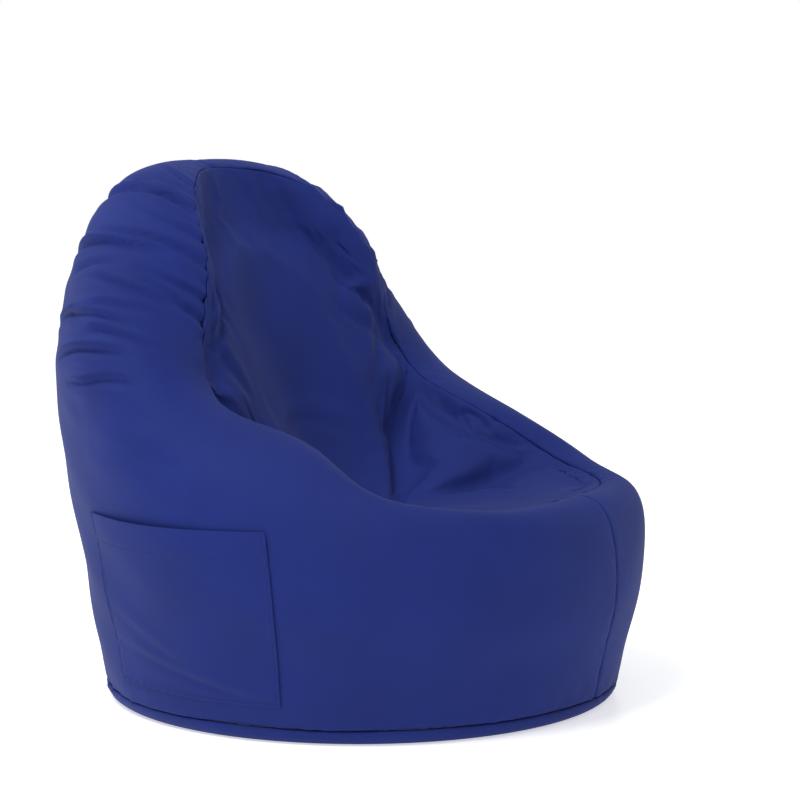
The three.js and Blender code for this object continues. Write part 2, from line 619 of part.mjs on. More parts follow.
// Patch pocket, sewn down along its two sides and its bottom, with a mouth that stands open.
function buildPocket() {
  const pocket = new THREE.Group();
  const columns = 12;
  const rows = 8;
  const edge = (k) => THREE.MathUtils.lerp(POCKET_FRONT_ANGLE, POCKET_BACK_ANGLE, k) / 360;
  const standOff = (across, up) => POCKET_CLEARANCE
    + (POCKET_GAPE - POCKET_CLEARANCE) * Math.sin(Math.PI * across) ** POCKET_BULGE_ACROSS
      * up ** POCKET_BULGE_UP;
  const pocketPoint = (across, up, over) => {
    const s = edge(across);
    const t = sideShareAtHeight(s, THREE.MathUtils.lerp(POCKET_BOTTOM, POCKET_MOUTH, up));
    return sidePoint(s, t).addScaledVector(normalAt(sidePoint, s, t), standOff(across, up) + over);
  };
  const grid = (over) => Array.from({ length: columns + 1 }, (_, i) => (
    Array.from({ length: rows + 1 }, (__, j) => pocketPoint(i / columns, j / rows, over))));
  pocket.add(namedMesh('side_pocket', 'cover', shell(grid(POCKET_THICKNESS), grid(0), false)));

  // A bar tack across each end of the hem's stitching.
  const hemShare = 1 - POCKET_HEM / (POCKET_MOUTH - POCKET_BOTTOM);
  for (const [end, across] of [['front', TACK_INSET], ['back', 1 - TACK_INSET]]) {
    const tack = namedMesh(`pocket_tack_${end}`, 'thread',
      boxAt(TACK_WIDTH, TACK_LENGTH, TACK_THICKNESS, 0, 0, TACK_THICKNESS / 2));
    const place = pocketPoint(across, hemShare, POCKET_THICKNESS + PATCH_CLEARANCE);
    const out = pocketPoint(across, hemShare, POCKET_THICKNESS + 2).sub(place).normalize();
    const up = pocketPoint(across, hemShare + 0.05, POCKET_THICKNESS + PATCH_CLEARANCE).sub(place);
    const level = up.clone().cross(out).normalize();
    const basis = new THREE.Matrix4().makeBasis(level, out.clone().cross(level), out);
    tack.quaternion.setFromRotationMatrix(basis);
    tack.position.copy(place);
    pocket.add(tack);
  }
  return pocket;
}

// Frame on the back seam: X to the sitter's right, Y up the seam and Z out of the back.
function backSeamFrame(t) {
  const out = normalAt(sidePoint, 0.5, t).setX(0).normalize();
  const along = new THREE.Vector3(0, -out.z, out.y);
  const frame = new THREE.Group();
  frame.quaternion.setFromRotationMatrix(
    new THREE.Matrix4().makeBasis(along.clone().cross(out), along, out));
  frame.position.copy(sidePoint(0.5, t));
  return frame;
}

// Webbing handle: a grip that swings about the line through its two ends, and the ends sewn down.
function buildHandle() {
  const frame = backSeamFrame(HANDLE_PLACE);
  const grip = new THREE.Group();
  const stations = 18;
  const sections = Array.from({ length: stations + 1 }, (_, k) => {
    const angle = Math.PI * (k / stations);
    const x = -(HANDLE_SPAN / 2) * Math.cos(angle);
    const reach = HANDLE_REACH * Math.sin(angle) ** HANDLE_ARCH;
    const width = THREE.MathUtils.lerp(
      HANDLE_END_WIDTH, HANDLE_WIDTH, Math.sin(angle) ** HANDLE_SPREAD) / 2;
    const slope = new THREE.Vector2(Math.sin(angle), Math.cos(angle) * HANDLE_REACH / HANDLE_SPAN * 2);
    const side = new THREE.Vector2(-slope.y, slope.x).normalize().multiplyScalar(HANDLE_THICKNESS / 2);
    return [[1, 1], [1, -1], [-1, -1], [-1, 1]].map(([a, b]) => (
      new THREE.Vector3(x + a * side.x, b * width, reach + a * side.y)));
  });
  grip.add(namedMesh('carry_handle', 'webbing', loft(sections)));
  grip.position.set(0, 0, HANDLE_LIFT);
  grip.rotation.x = THREE.MathUtils.degToRad(HANDLE_DROOP);
  frame.add(grip);

  for (const [side, sign] of [['right', 1], ['left', -1]]) {
    const near = HANDLE_SPAN / 2 + HANDLE_THICKNESS / 2 + HANDLE_END_GAP;
    const anchor = new THREE.Shape([
      new THREE.Vector2(near, PATCH_CLEARANCE), new THREE.Vector2(near, HANDLE_LIFT),
      new THREE.Vector2(near + ANCHOR_LENGTH / 3, ANCHOR_THICKNESS),
      new THREE.Vector2(near + ANCHOR_LENGTH, ANCHOR_THICKNESS - 1),
      new THREE.Vector2(near + ANCHOR_LENGTH, PATCH_CLEARANCE - 1),
    ]);
    const geometry = new THREE.ExtrudeGeometry(anchor, { depth: HANDLE_WIDTH, bevelEnabled: false })
      .translate(0, 0, -HANDLE_WIDTH / 2).rotateX(Math.PI / 2);
    const flat = mergeVertices(geometry, MERGE_DISTANCE);
    frame.add(namedMesh(`handle_end_${side}`, 'webbing', sign > 0 ? flat : mirrorX(flat)));
  }
  return frame;
}

// Blank care label, one edge in the back seam above the zip.
function buildLabel() {
  const share = (COVER_ZIP_START + COVER_ZIP_LENGTH + LABEL_OVER_ZIP)
    / sidePoint(0.5, SKIRT_SHARE).distanceTo(backSeamStart);
  const frame = backSeamFrame(Math.min(share, 1) * SKIRT_SHARE);
  frame.add(namedMesh('care_label', 'label', boxAt(
    LABEL_WIDTH, LABEL_HEIGHT, LABEL_THICKNESS,
    -(LABEL_WIDTH / 2 + SEAM_GAP), 0, PATCH_CLEARANCE + LABEL_THICKNESS / 2)));
  return frame;
}

chair.add(buildCover(), buildLiner(), buildFilling(), buildPocket(), buildHandle(), buildLabel());

export default chair;
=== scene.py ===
"""Bean bag chair: the finished looks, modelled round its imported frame.

Lengths are in metres and +Z is up. The sitter looks along -Y, so the sitter's right is -X. A place
on the bag is given by s, the share of a turn from the front round by the sitter's right, and t, the
share of the way across a panel: up the side panels, in from the rim to the lowest point of the
seat, or out from the middle of the base.
"""

import logging
import math
from dataclasses import dataclass, field
from enum import Enum
from typing import Callable

import bpy
import numpy as np
from mathutils import Matrix, Vector


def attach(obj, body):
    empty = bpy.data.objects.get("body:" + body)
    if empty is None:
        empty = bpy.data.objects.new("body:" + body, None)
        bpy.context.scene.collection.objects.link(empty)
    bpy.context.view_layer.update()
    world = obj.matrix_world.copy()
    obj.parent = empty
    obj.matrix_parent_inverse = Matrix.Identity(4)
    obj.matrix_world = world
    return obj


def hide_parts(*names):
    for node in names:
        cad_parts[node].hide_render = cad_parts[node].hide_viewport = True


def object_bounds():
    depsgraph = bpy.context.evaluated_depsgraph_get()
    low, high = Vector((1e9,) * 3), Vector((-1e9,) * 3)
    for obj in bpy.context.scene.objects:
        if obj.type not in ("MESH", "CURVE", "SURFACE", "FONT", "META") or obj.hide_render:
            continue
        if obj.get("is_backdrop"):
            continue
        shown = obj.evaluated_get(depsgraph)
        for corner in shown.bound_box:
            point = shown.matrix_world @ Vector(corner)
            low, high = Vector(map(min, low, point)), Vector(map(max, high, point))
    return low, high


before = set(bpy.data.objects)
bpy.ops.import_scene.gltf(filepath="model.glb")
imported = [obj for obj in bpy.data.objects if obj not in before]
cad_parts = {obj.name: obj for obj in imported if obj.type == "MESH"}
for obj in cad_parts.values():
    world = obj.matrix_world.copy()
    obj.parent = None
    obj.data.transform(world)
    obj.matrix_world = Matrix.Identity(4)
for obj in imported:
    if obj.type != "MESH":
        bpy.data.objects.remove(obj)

log = logging.getLogger("bean_bag_chair")

Array = np.ndarray
Piece = bpy.types.Object
Triple = tuple[float, float, float]
Pair = tuple[Array, Array]
Surface = Callable[[Array, Array], Array]

TURN = 2 * math.pi
UP = np.array([0.0, 0.0, 1.0])
EDGE_STEPS = np.array([0.0, 0.0004, 0.0011, 0.0022, 0.0040, 0.0068, 0.0110])  # beside a seam
SLOPE_STEP = 0.002  # share of a panel over which its slope at a seam is taken
THREAD_LIFT = 0.0001  # how far stitches stand over the cloth
LINER_BASE = 0.0085  # height of the liner's base over the floor
LINER_ZIP_START = 0.12  # how far the liner's zip starts to the right of the middle
COVER_ZIP_START = 0.030  # how far up the back seam the cover's zip starts
SHARP_ANGLE, SMOOTH_ANGLE = 40.0, 35.0  # degrees: edges that are rounded, edges that are shaded smooth


# ---- numbers and grids ----


def clamp(value: Array, low: float = 0.0, high: float = 1.0) -> Array:
    """Keeps every number between low and high."""
    return np.minimum(np.maximum(value, low), high)


def ease(value: Array) -> Array:
    """Smooth step: 0 below 0, 1 above 1 and an easy S between them."""
    w = clamp(value)
    return w * w * (3 - 2 * w)


def unit(vectors: Array) -> Array:
    """The same directions with a length of 1."""
    return vectors / (np.linalg.norm(vectors, axis=-1, keepdims=True) + 1e-12)


def closed_curve(values: Array, s: Array) -> Array:
    """Smooth closed curve through evenly spaced values.

    Args:
        values: one row for each place round the loop.
        s: share of the loop, of any shape.

    Returns:
        One row of values for each s.
    """
    place = (np.asarray(s, float) % 1.0) * len(values)
    step = np.floor(place).astype(int)
    w = (place - step)[..., None]
    a, b, c, d = (values[(step + k) % len(values)] for k in (-1, 0, 1, 2))
    start, end = (c - a) / 2, (d - b) / 2
    return (2 * b - 2 * c + start + end) * w**3 + (-3 * b + 3 * c - 2 * start - end) * w**2 + start * w + b


def bezier(a: Array, b: Array, c: Array, d: Array, w: Array) -> Array:
    """Cubic Bezier curve through a and d, pulled by b and c, at share w."""
    v = 1 - w
    return a * v**3 + 3 * b * v * v * w + 3 * c * v * w * w + d * w**3


def cubic_weights(w: Array) -> tuple[Array, ...]:
    """Weights of four neighbours for a smooth value at share w between the middle two.

    Args:
        w: shares between the middle two.

    Returns:
        The four weights.
    """
    return (
        -0.5 * w + w**2 - 0.5 * w**3,
        1 - 2.5 * w**2 + 1.5 * w**3,
        0.5 * w + 2 * w**2 - 1.5 * w**3,
        -0.5 * w**2 + 0.5 * w**3,
    )


def sample_grid(grid: Array, a: Array, b: Array, closed: bool) -> Array:
    """Smooth values of a grid between its points.

    Args:
        grid: values with two grid axes and a last axis of components.
        a: places along the first axis, in steps.
        b: places along the second axis, in steps, of the same shape as a.
        closed: whether the first axis is a loop.

    Returns:
        Values of the shape of a, with the grid's components.
    """
    rows, columns = grid.shape[:2]
    if not closed:
        a = clamp(a, 0, rows - 1)
    b = clamp(b, 0, columns - 1)
    step_a, step_b = np.floor(a).astype(int), np.floor(b).astype(int)
    weights_a, weights_b = cubic_weights(a - step_a), cubic_weights(b - step_b)
    total = 0.0
    for i, weight_a in enumerate(weights_a):
        at_a = (step_a + i - 1) % rows if closed else np.clip(step_a + i - 1, 0, rows - 1)
        for j, weight_b in enumerate(weights_b):
            at_b = np.clip(step_b + j - 1, 0, columns - 1)
            total = total + (weight_a * weight_b)[..., None] * grid[at_a, at_b]
    return total


def ripple(points: Array, wavelength: float, seed: int, waves: int = 9) -> Array:
    """Soft random swell from -1 to 1 in space, made of plane waves with seeded directions.

    Args:
        points: places, with the last axis x, y and z.
        wavelength: middle length of the waves.
        seed: which random draw to use.
        waves: how many waves are added.

    Returns:
        One number for each place.
    """
    draw = np.random.default_rng(seed)
    total = np.zeros(points.shape[:-1])
    for _ in range(waves):
        direction = unit(draw.normal(size=3))
        length = wavelength * draw.uniform(0.7, 1.5)
        total += np.sin(points @ direction * TURN / length + draw.uniform(0, TURN))
    return total / math.sqrt(waves * 2)


def grid_normals(grid: Array, closed: bool) -> Array:
    """Normals of a grid of points, on the side of its second axis crossed with its first.

    Args:
        grid: the grid's points.
        closed: whether the first axis is a loop.

    Returns:
        Normals.
    """
    if closed:
        along = np.roll(grid, -1, 0) - np.roll(grid, 1, 0)
    else:
        along = np.gradient(grid, axis=0)
    return unit(np.cross(np.gradient(grid, axis=1), along))


def number_grid(grid: Array, first: int = 0) -> Array:
    """Numbers for the points of a grid, row by row."""
    return first + np.arange(grid[..., 0].size).reshape(grid.shape[:2])


# ---- shape of the bag ----


def mirrored(values: tuple[float, ...]) -> Array:
    """Values from front to back, carried on to the front again down the other side."""
    return np.array([*values, *values[-2:0:-1]], float)[:, None]


@dataclass(frozen=True)
class BagShape:
    """Sizes of the bag's three surfaces, as the cut of its panels and its filling set them.

    The lists run from the front by the front corner, side and back corner to the back.
    """

    base_radius: float = 0.348
    base_seam_height: float = 0.020
    skirt_out: tuple[float, ...] = (0.022, 0.028, 0.038, 0.052, 0.063)
    skirt_rise: tuple[float, ...] = (0.100, 0.112, 0.150, 0.314, 0.297)
    belly_pull: tuple[float, ...] = (0.050, 0.056, 0.109, 0.103, 0.115)
    crown_out: tuple[float, ...] = (0.090, 0.088, 0.146, 0.198, 0.132)
    crown_up: tuple[float, ...] = (0.027, 0.030, 0.033, 0.114, 0.046)
    skirt_share: float = 0.4
    rim_half: tuple[Triple, ...] = (
        (0, -0.305, 0.282), (-0.172, -0.275, 0.282), (-0.250, -0.167, 0.303),
        (-0.243, -0.058, 0.364), (-0.256, 0.055, 0.416), (-0.238, 0.094, 0.500),
        (-0.207, 0.110, 0.592), (-0.146, 0.171, 0.680), (0, 0.222, 0.712),
    )
    seat_centre: Triple = (0, -0.030, 0.236)
    seat_roll: tuple[float, ...] = (0.070, 0.060, 0.045, 0.040, 0.050)
    seat_drop: float = 0.42
    seat_flat: float = 0.62
    roll_share: float = 0.3
    plump: float = 0.013
    plump_place: tuple[float, float] = (0.055, 0.88)
    plump_spread: Triple = (0.07, 0.04, 0.09)
    plump_lean: tuple[float, float] = (0.6, 0.8)
    plump_seam: float = 0.06

    def plumpness(self, s: Array, t: Array) -> Array:
        """How far the beads press the top of the back up on each side of its seam.

        Args:
            s: shares of a turn.
            t: shares across the panel.

        Returns:
            Heights.
        """
        towards_seam, away, upwards = self.plump_spread
        off = np.abs((s % 1.0) - 0.5) - self.plump_place[0]
        sideways = np.exp(-((off / np.where(off < 0, towards_seam, away)) ** 2))
        upright = np.exp(-(((t - self.plump_place[1]) / upwards) ** 2)) * ease((1 - t) / self.plump_seam)
        return self.plump * sideways * upright

    def outward(self, s: Array) -> Array:
        """Level direction straight out of the bag."""
        angle = TURN * np.asarray(s, float)
        return np.stack([-np.sin(angle), -np.cos(angle), np.zeros_like(angle)], -1)

    def rim(self, s: Array) -> Array:
        """Seam between the side panels and the seat panel.

        Args:
            s: shares of a turn.

        Returns:
            Places.
        """
        right = np.array(self.rim_half, float)
        left = right[-2:0:-1] * (-1, 1, 1)
        return closed_curve(np.concatenate([right, left]), s)

    def skirt(self, s: Array) -> Pair:
        """Lower and upper end of the straight part of the side panels.

        Args:
            s: shares of a turn.

        Returns:
            Places of both ends.
        """
        out = self.outward(s)
        seam = out * self.base_radius + UP * self.base_seam_height
        lean = out * closed_curve(mirrored(self.skirt_out), s)
        return seam, seam + lean + UP * closed_curve(mirrored(self.skirt_rise), s)

    def side(self, s: Array, t: Array) -> Array:
        """Side panels: t is 0 at the base seam and 1 at the rim seam.

        Args:
            s: shares of a turn.
            t: shares across the panel.

        Returns:
            Places.
        """
        s, t = np.broadcast_arrays(np.asarray(s, float), np.asarray(t, float))
        seam, belt = self.skirt(s)
        out, rim = self.outward(s), self.rim(s)
        bulge = belt + unit(belt - seam) * closed_curve(mirrored(self.belly_pull), s)
        crown = rim + out * closed_curve(mirrored(self.crown_out), s)
        crown = crown + UP * closed_curve(mirrored(self.crown_up), s)
        w = clamp((t - self.skirt_share) / (1 - self.skirt_share))[..., None]
        straight = seam + (belt - seam) * clamp(t / self.skirt_share)[..., None]
        full = (out * self.plump_lean[0] + UP * self.plump_lean[1]) * self.plumpness(s, t)[..., None]
        return np.where(w > 0, bezier(belt, bulge, crown, rim, w) + full, straight)

    def rim_direction(self, s: Array) -> Array:
        """Direction out of the bag that the side and seat panels share along the rim seam.

        Args:
            s: shares of a turn.

        Returns:
            Directions.
        """
        step = 1e-3
        normal = 0
        for surface, t, sign in ((self.side, 1.0, -1), (self.seat, 0.0, 1)):
            along = surface(s + step, t) - surface(s - step, t)
            across = (surface(s, t + sign * step) - surface(s, t)) * sign
            normal = normal + unit(np.cross(across, along))
        return unit(normal)

    def seat(self, s: Array, t: Array) -> Array:
        """Seat panel: t is 0 at the rim seam and 1 at the lowest point of the seat.

        Args:
            s: shares of a turn.
            t: shares across the panel.

        Returns:
            Places.
        """
        s, t = np.broadcast_arrays(np.asarray(s, float), np.asarray(t, float))
        rim, centre = self.rim(s), np.array(self.seat_centre)
        rise = rim[..., 2:] - centre[2]
        roll = rim - self.outward(s) * closed_curve(mirrored(self.seat_roll), s) - UP * rise * self.seat_drop
        flat = centre + (rim - centre) * (1, 1, 0) * self.seat_flat
        return bezier(rim, roll, flat, np.broadcast_to(centre, rim.shape), t[..., None])

    def base(self, s: Array, t: Array) -> Array:
        """Base panel: t is 0 at the middle, flat at first, then rolled up to the seam at 1.

        Args:
            s: shares of a turn.
            t: shares across the panel.

        Returns:
            Places.
        """
        s, t = np.broadcast_arrays(np.asarray(s, float), np.asarray(t, float))
        start = 1 - self.roll_share
        flat = self.base_radius - self.base_seam_height
        angle = TURN / 4 * clamp((t - start) / self.roll_share)
        radius = flat * clamp(t / start) + self.base_seam_height * np.sin(angle)
        height = self.base_seam_height * (1 - np.cos(angle))
        return self.outward(s) * radius[..., None] + UP * height[..., None]


class Disc:
    """A square grid laid over a round patch, so that the patch has no pole in its middle."""

    def __init__(self, across: int, along: int) -> None:
        """Works out where the grid's points lie on a disc of radius 1.

        Args:
            across: steps across the front and the back.
            along: steps down each side; the rim has 2 (across + along) steps.
        """
        self.across, self.along = across, along
        self.steps = 2 * (across + along)
        self.order = self._edge_order()

    def _edge_order(self) -> Array:
        """Grid index of each step round the rim, from the front by the sitter's right.

        Returns:
            Pairs of grid numbers.
        """
        u, v = self.across, self.along
        half = u // 2
        front = [(half + k, 0) for k in range(half)]
        right = [(u, k) for k in range(v)]
        back = [(u - k, v) for k in range(u)]
        left = [(0, v - k) for k in range(v)]
        rest = [(k, 0) for k in range(half)]
        return np.array([*front, *right, *back, *left, *rest])

    @staticmethod
    def _on_edge(s: Array) -> Array:
        """Places on the disc's rim at shares of a turn from the front."""
        return np.stack([np.sin(TURN * s), -np.cos(TURN * s)], -1)

    def _lay(self, finer: int) -> Pair:
        """Places of the grid's points, with each step split into finer ones.

        Args:
            finer: how many fine steps each step is split into.

        Returns:
            Their x and y.
        """
        u = np.linspace(0, 1, self.across * finer + 1)
        v = np.linspace(0, 1, self.along * finer + 1)
        corner = self.across / 2 / self.steps
        low = self._on_edge((u - 0.5) * 2 * corner)
        high = self._on_edge(0.5 - (u - 0.5) * 2 * corner)
        near = self._on_edge(-corner - v * (0.5 - 2 * corner))
        far = self._on_edge(corner + v * (0.5 - 2 * corner))
        a, b = u[:, None, None], v[None, :, None]
        place = (1 - b) * low[:, None] + b * high[:, None] + (1 - a) * near[None] + a * far[None]
        place = place - (1 - a) * (1 - b) * low[0] - a * (1 - b) * low[-1]
        place = place - (1 - a) * b * high[0] - a * b * high[-1]
        return place[..., 0], place[..., 1]

    def polar(self, finer: int = 1) -> Pair:
        """Share of a turn and distance from the middle of each grid point."""
        x, y = self._lay(finer)
        return (np.arctan2(x, -y) / TURN) % 1.0, np.hypot(x, y)


# ---- meshes ----


def index_faces(index: Array, closed: bool, flipped: bool = False) -> Array:
    """Quads between the numbered points of a grid; closed joins the last row to the first.

    Args:
        index: the numbers, as a grid.
        closed: whether the first axis is a loop.
        flipped: whether the faces look the other way.

    Returns:
        Rows of four numbers.
    """
    near = index if closed else index[:-1]
    far = np.roll(index, -1, 0) if closed else index[1:]
    corners = [near[:, :-1], near[:, 1:], far[:, 1:], far[:, :-1]]
    if flipped:
        corners.reverse()
    return np.stack([c.ravel() for c in corners], 1)


def make_mesh(name: str, points: Array, faces: Array,
              uv: Array | None = None) -> Piece:
    """Adds a smooth-shaded mesh object.

    Args:
        name: the piece's name.
        points: vertices.
        faces: quads, as rows of four vertex numbers.
        uv: place of each vertex on the flat cloth, in metres.

    Returns:
        The new object, at the origin.
    """
    mesh = bpy.data.meshes.new(name)
    mesh.vertices.add(len(points))
    mesh.vertices.foreach_set("co", np.asarray(points, np.float32).ravel())
    mesh.loops.add(faces.size)
    mesh.loops.foreach_set("vertex_index", faces.astype(np.int32).ravel())
    mesh.polygons.add(len(faces))
    mesh.polygons.foreach_set("loop_start", np.arange(0, faces.size, 4, dtype=np.int32))
    mesh.polygons.foreach_set("use_smooth", np.ones(len(faces), bool))
    mesh.update(calc_edges=True)
    if uv is not None:
        layer = mesh.uv_layers.new(name="cloth")
        layer.data.foreach_set("uv", uv[faces.ravel()].astype(np.float32).ravel())
    mesh.validate()
    piece = bpy.data.objects.new(name, mesh)
    bpy.context.scene.collection.objects.link(piece)
    return piece


def sheet_mesh(name: str, grid: Array, uv: Array | None = None) -> Piece:
    """Adds a mesh object of one open grid of points."""
    return make_mesh(name, grid.reshape(-1, 3), index_faces(number_grid(grid), False), uv)


def welded_mesh(name: str, grids: list[Array], faces: Array,
                flat: Array | None = None) -> Piece:
    """Adds a mesh object of several grids that share points.

    Args:
        name: the piece's name.
        grids: the grids of points, numbered one after another.
        faces: quads between them; points that none uses are left out.
        flat: 3 by 2 matrix that lays the points on the flat cloth.

    Returns:
        The new object.
    """
    points = np.concatenate([grid.reshape(-1, 3) for grid in grids])
    used, numbers = np.unique(faces, return_inverse=True)
    points = points[used]
    return make_mesh(name, points, numbers.reshape(faces.shape), None if flat is None else points @ flat)


def round_panel(name: str, ring: Array, core: Array, order: Array, shared: int,
                flat: Array | None = None) -> Piece:
    """Adds a round panel: a closed ring of columns joined to a grid without a pole.

    Args:
        name: the piece's name.
        ring: grid of the ring's points.
        core: grid of the points inside it.
        order: grid index of each step round the edge of the core.
        shared: row of the ring that the core's edge shares, -1 at the seat or 0 at the base.
        flat: 3 by 2 matrix that lays the points on the flat cloth.

    Returns:
        The new object.
    """
    ring_index = number_grid(ring)
    core_index = number_grid(core, ring_index.size)
    core_index[order[:, 0], order[:, 1]] = ring_index[:, shared]
    faces = np.concatenate([index_faces(ring_index, True), index_faces(core_index, False, shared == 0)])
    return welded_mesh(name, [ring, core], faces, flat)


def select_only(piece: Piece) -> None:
    """Makes one object the selected and active one.

    Args:
        piece: the piece.
    """
    for other in bpy.context.selected_objects:
        other.select_set(False)
    piece.select_set(True)
    bpy.context.view_layer.objects.active = piece


def apply_modifier(piece: Piece, kind: str, **settings: object) -> None:
    """Adds a modifier with the given settings and applies it.

    Args:
        piece: the piece.
        kind: its type.
        settings: its values.
    """
    select_only(piece)
    modifier = piece.modifiers.new(kind.lower(), kind)
    for key, value in settings.items():
        setattr(modifier, key, value)
    bpy.ops.object.modifier_apply(modifier=modifier.name)


def give_thickness(piece: Piece, thickness: float) -> None:
    """Turns a sheet into cloth of a thickness that lies on its inner side, with closed edges."""
    apply_modifier(piece, "SOLIDIFY", thickness=thickness, offset=-1.0, use_rim=True)


class Along(Enum):
    """Axis of a rod, as the turn that lays an upright rod along it."""

    X = (0.0, TURN / 4, 0.0)
    Y = (TURN / 4, 0.0, 0.0)
    Z = (0.0, 0.0, 0.0)


class Fit(Enum):
    """What a tool does to a piece."""

    JOIN = "UNION"
    CUT = "DIFFERENCE"


def block(size: Triple, centre: Triple) -> Piece:
    """Adds a plain block.

    Args:
        size: its length along each axis.
        centre: its middle.

    Returns:
        The block.
    """
    bpy.ops.mesh.primitive_cube_add(size=1, location=centre)
    piece = bpy.context.active_object
    piece.scale = size
    bpy.ops.object.transform_apply(location=True, rotation=True, scale=True)
    return piece


def rod(radius: float, length: float, centre: Triple, axis: Along = Along.Z) -> Piece:
    """Adds a round rod along the X, Y or Z axis.

    Args:
        radius: its radius.
        length: its length.
        centre: its middle.
        axis: the axis that it lies along.

    Returns:
        The rod.
    """
    bpy.ops.mesh.primitive_cylinder_add(vertices=24, radius=radius, depth=length, location=centre,
                                        rotation=axis.value)
    bpy.ops.object.transform_apply(location=True, rotation=True, scale=True)
    return bpy.context.active_object


def soften(piece: Piece, width: float, steps: int = 2) -> Piece:
    """Rounds the sharp edges of a hard piece.

    Args:
        piece: the piece.
        width: width of the rounding.
        steps: how many faces round an edge.

    Returns:
        The piece.
    """
    apply_modifier(piece, "BEVEL", width=width, segments=steps, limit_method="ANGLE",
                   angle_limit=math.radians(SHARP_ANGLE))
    select_only(piece)
    bpy.ops.object.shade_smooth_by_angle(angle=math.radians(SMOOTH_ANGLE))
    return piece


def combine(piece: Piece, tool: Piece, fit: Fit) -> Piece:
    """Joins a tool to a piece or cuts it out, and removes the tool.

    Args:
        piece: the piece.
        tool: the shape joined or cut out, which is removed.
        fit: which of the two.

    Returns:
        The piece.
    """
    apply_modifier(piece, "BOOLEAN", operation=fit.value, solver="EXACT", object=tool)
    bpy.data.objects.remove(tool)
    return piece


def merge(name: str, pieces: list[Piece]) -> Piece:
    """Gathers several solids into one object.

    Args:
        name: its name.
        pieces: the solids.

    Returns:
        The one object.
    """
    select_only(pieces[0])
    for other in pieces[1:]:
        other.select_set(True)
    bpy.ops.object.join()
    pieces[0].name = pieces[0].data.name = name
    return pieces[0]


def copies(name: str, template: Piece, frames: Array) -> Piece:
    """One object made of many copies of a small shape.

    Args:
        name: the object's name.
        template: the shape, which is removed afterwards.
        frames: one 4 by 4 matrix for each copy.

    Returns:
        The object with all copies.
    """
    count = len(template.data.vertices)
    points = np.empty(count * 3)
    template.data.vertices.foreach_get("co", points)
    faces = [tuple(face.vertices) for face in template.data.polygons]
    placed = np.einsum("nij,kj->nki", frames[:, :3, :3], points.reshape(-1, 3)) + frames[:, None, :3, 3]
    mesh = bpy.data.meshes.new(name)
    mesh.from_pydata(placed.reshape(-1, 3).tolist(), [],
                     [tuple(v + n * count for v in face) for n in range(len(frames)) for face in faces])
    mesh.shade_smooth()
    bpy.data.objects.remove(template)
    piece = bpy.data.objects.new(name, mesh)
    bpy.context.scene.collection.objects.link(piece)
    return piece


def between(values: Array, along: Array, at: Array) -> Array:
    """Rows of values between those that stand at distances along a line."""
    return np.stack([np.interp(at, along, values[:, k]) for k in range(3)], 1)


def frames_on_line(line: Array, normals: Array, pitch: float) -> Array:
    """Frames evenly spaced along a line, with X along it and Z along its normals.

    Args:
        line: points along the line.
        normals: directions out of the cloth there.
        pitch: distance from one frame to the next.

    Returns:
        One 4 by 4 matrix for each.
    """
    along = np.concatenate([[0], np.cumsum(np.linalg.norm(np.diff(line, axis=0), axis=1))])
    count = max(1, int(along[-1] / pitch))
    at = (np.arange(count) + 0.5) * along[-1] / count
    x = unit(between(line, along, at + pitch / 4) - between(line, along, at - pitch / 4))
    z = unit(between(normals, along, at))
    y = unit(np.cross(z, x))
    frames = np.zeros((count, 4, 4))
    frames[:, :3, 0], frames[:, :3, 1], frames[:, :3, 2] = x, y, unit(np.cross(x, y))
    frames[:, :3, 3] = between(line, along, at)
    frames[:, 3, 3] = 1
    return frames


def stitch_template(length: float, thick: float) -> Piece:
    """One stitch: a short rounded thread along X that sinks into the cloth at both ends.

    Args:
        length: its length.
        thick: thickness of the thread.

    Returns:
        The stitch.
    """
    bpy.ops.mesh.primitive_uv_sphere_add(segments=6, ring_count=5, radius=0.5, rotation=(0, TURN / 4, 0))
    piece = bpy.context.active_object
    bpy.ops.object.transform_apply(rotation=True)
    piece.scale = (length, thick, thick)
    bpy.ops.object.transform_apply(scale=True)
    return piece


def stitches(name: str, rows: list[Pair], length: float = 0.003,
             thick: float = 0.0007, pitch: float = 0.0040) -> Piece:
    """Rows of stitches along lines on the cloth, each given by its points and normals."""
    frames = np.concatenate([frames_on_line(line, normals, pitch) for line, normals in rows])
    return copies(name, stitch_template(length, thick), frames)


def strip(name: str, centre: Array, across: Array, out: Array, half: Array,
          thickness: float) -> Piece:
    """Length of webbing with rounded edges and closed ends.

    Args:
        name: the piece's name.
        centre: points along its middle.
        across: direction of its width at each point.
        out: direction of its thickness at each point.
        half: half of its width at each point.
        thickness: thickness of the webbing.

    Returns:
        The new object.
    """
    round_it, flatness = 28, 0.4
    angle = np.arange(round_it) * TURN / round_it
    waves = np.stack([np.cos(angle), np.sin(angle)])
    sideways, upwards = np.sign(waves) * np.abs(waves) ** flatness
    grid = (centre[:, None] + across[:, None] * (half[:, None] * sideways)[..., None]
            + out[:, None] * (thickness / 2 * upwards)[None, :, None])
    index = number_grid(grid)
    looped = np.concatenate([index, index[:, :1]], 1)
    piece = make_mesh(name, grid.reshape(-1, 3), index_faces(looped, False))
    select_only(piece)
    bpy.ops.object.mode_set(mode="EDIT")
    bpy.ops.mesh.select_all(action="SELECT")
    bpy.ops.mesh.fill_holes(sides=0)
    bpy.ops.mesh.select_all(action="SELECT")
    bpy.ops.mesh.normals_make_consistent(inside=False)
    bpy.ops.object.mode_set(mode="OBJECT")
    return piece


def place(piece: Piece, body: str, slot: str, finish: bpy.types.Material,
          *nodes: str) -> None:
    """Gives a piece its finish, its body, its material slot and the frame nodes that it stands for.

    Args:
        piece: the piece.
        body: the CAD body that it rides on.
        slot: its material slot; not used.
        finish: its material.
        nodes: the frame nodes that it stands for.
    """
    piece.data.materials.clear()
    piece.data.materials.append(finish)
    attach(piece, body)
    if nodes:
        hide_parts(*nodes)
    log.info("%s: %d faces, rides on %s", piece.name, len(piece.data.polygons), body)


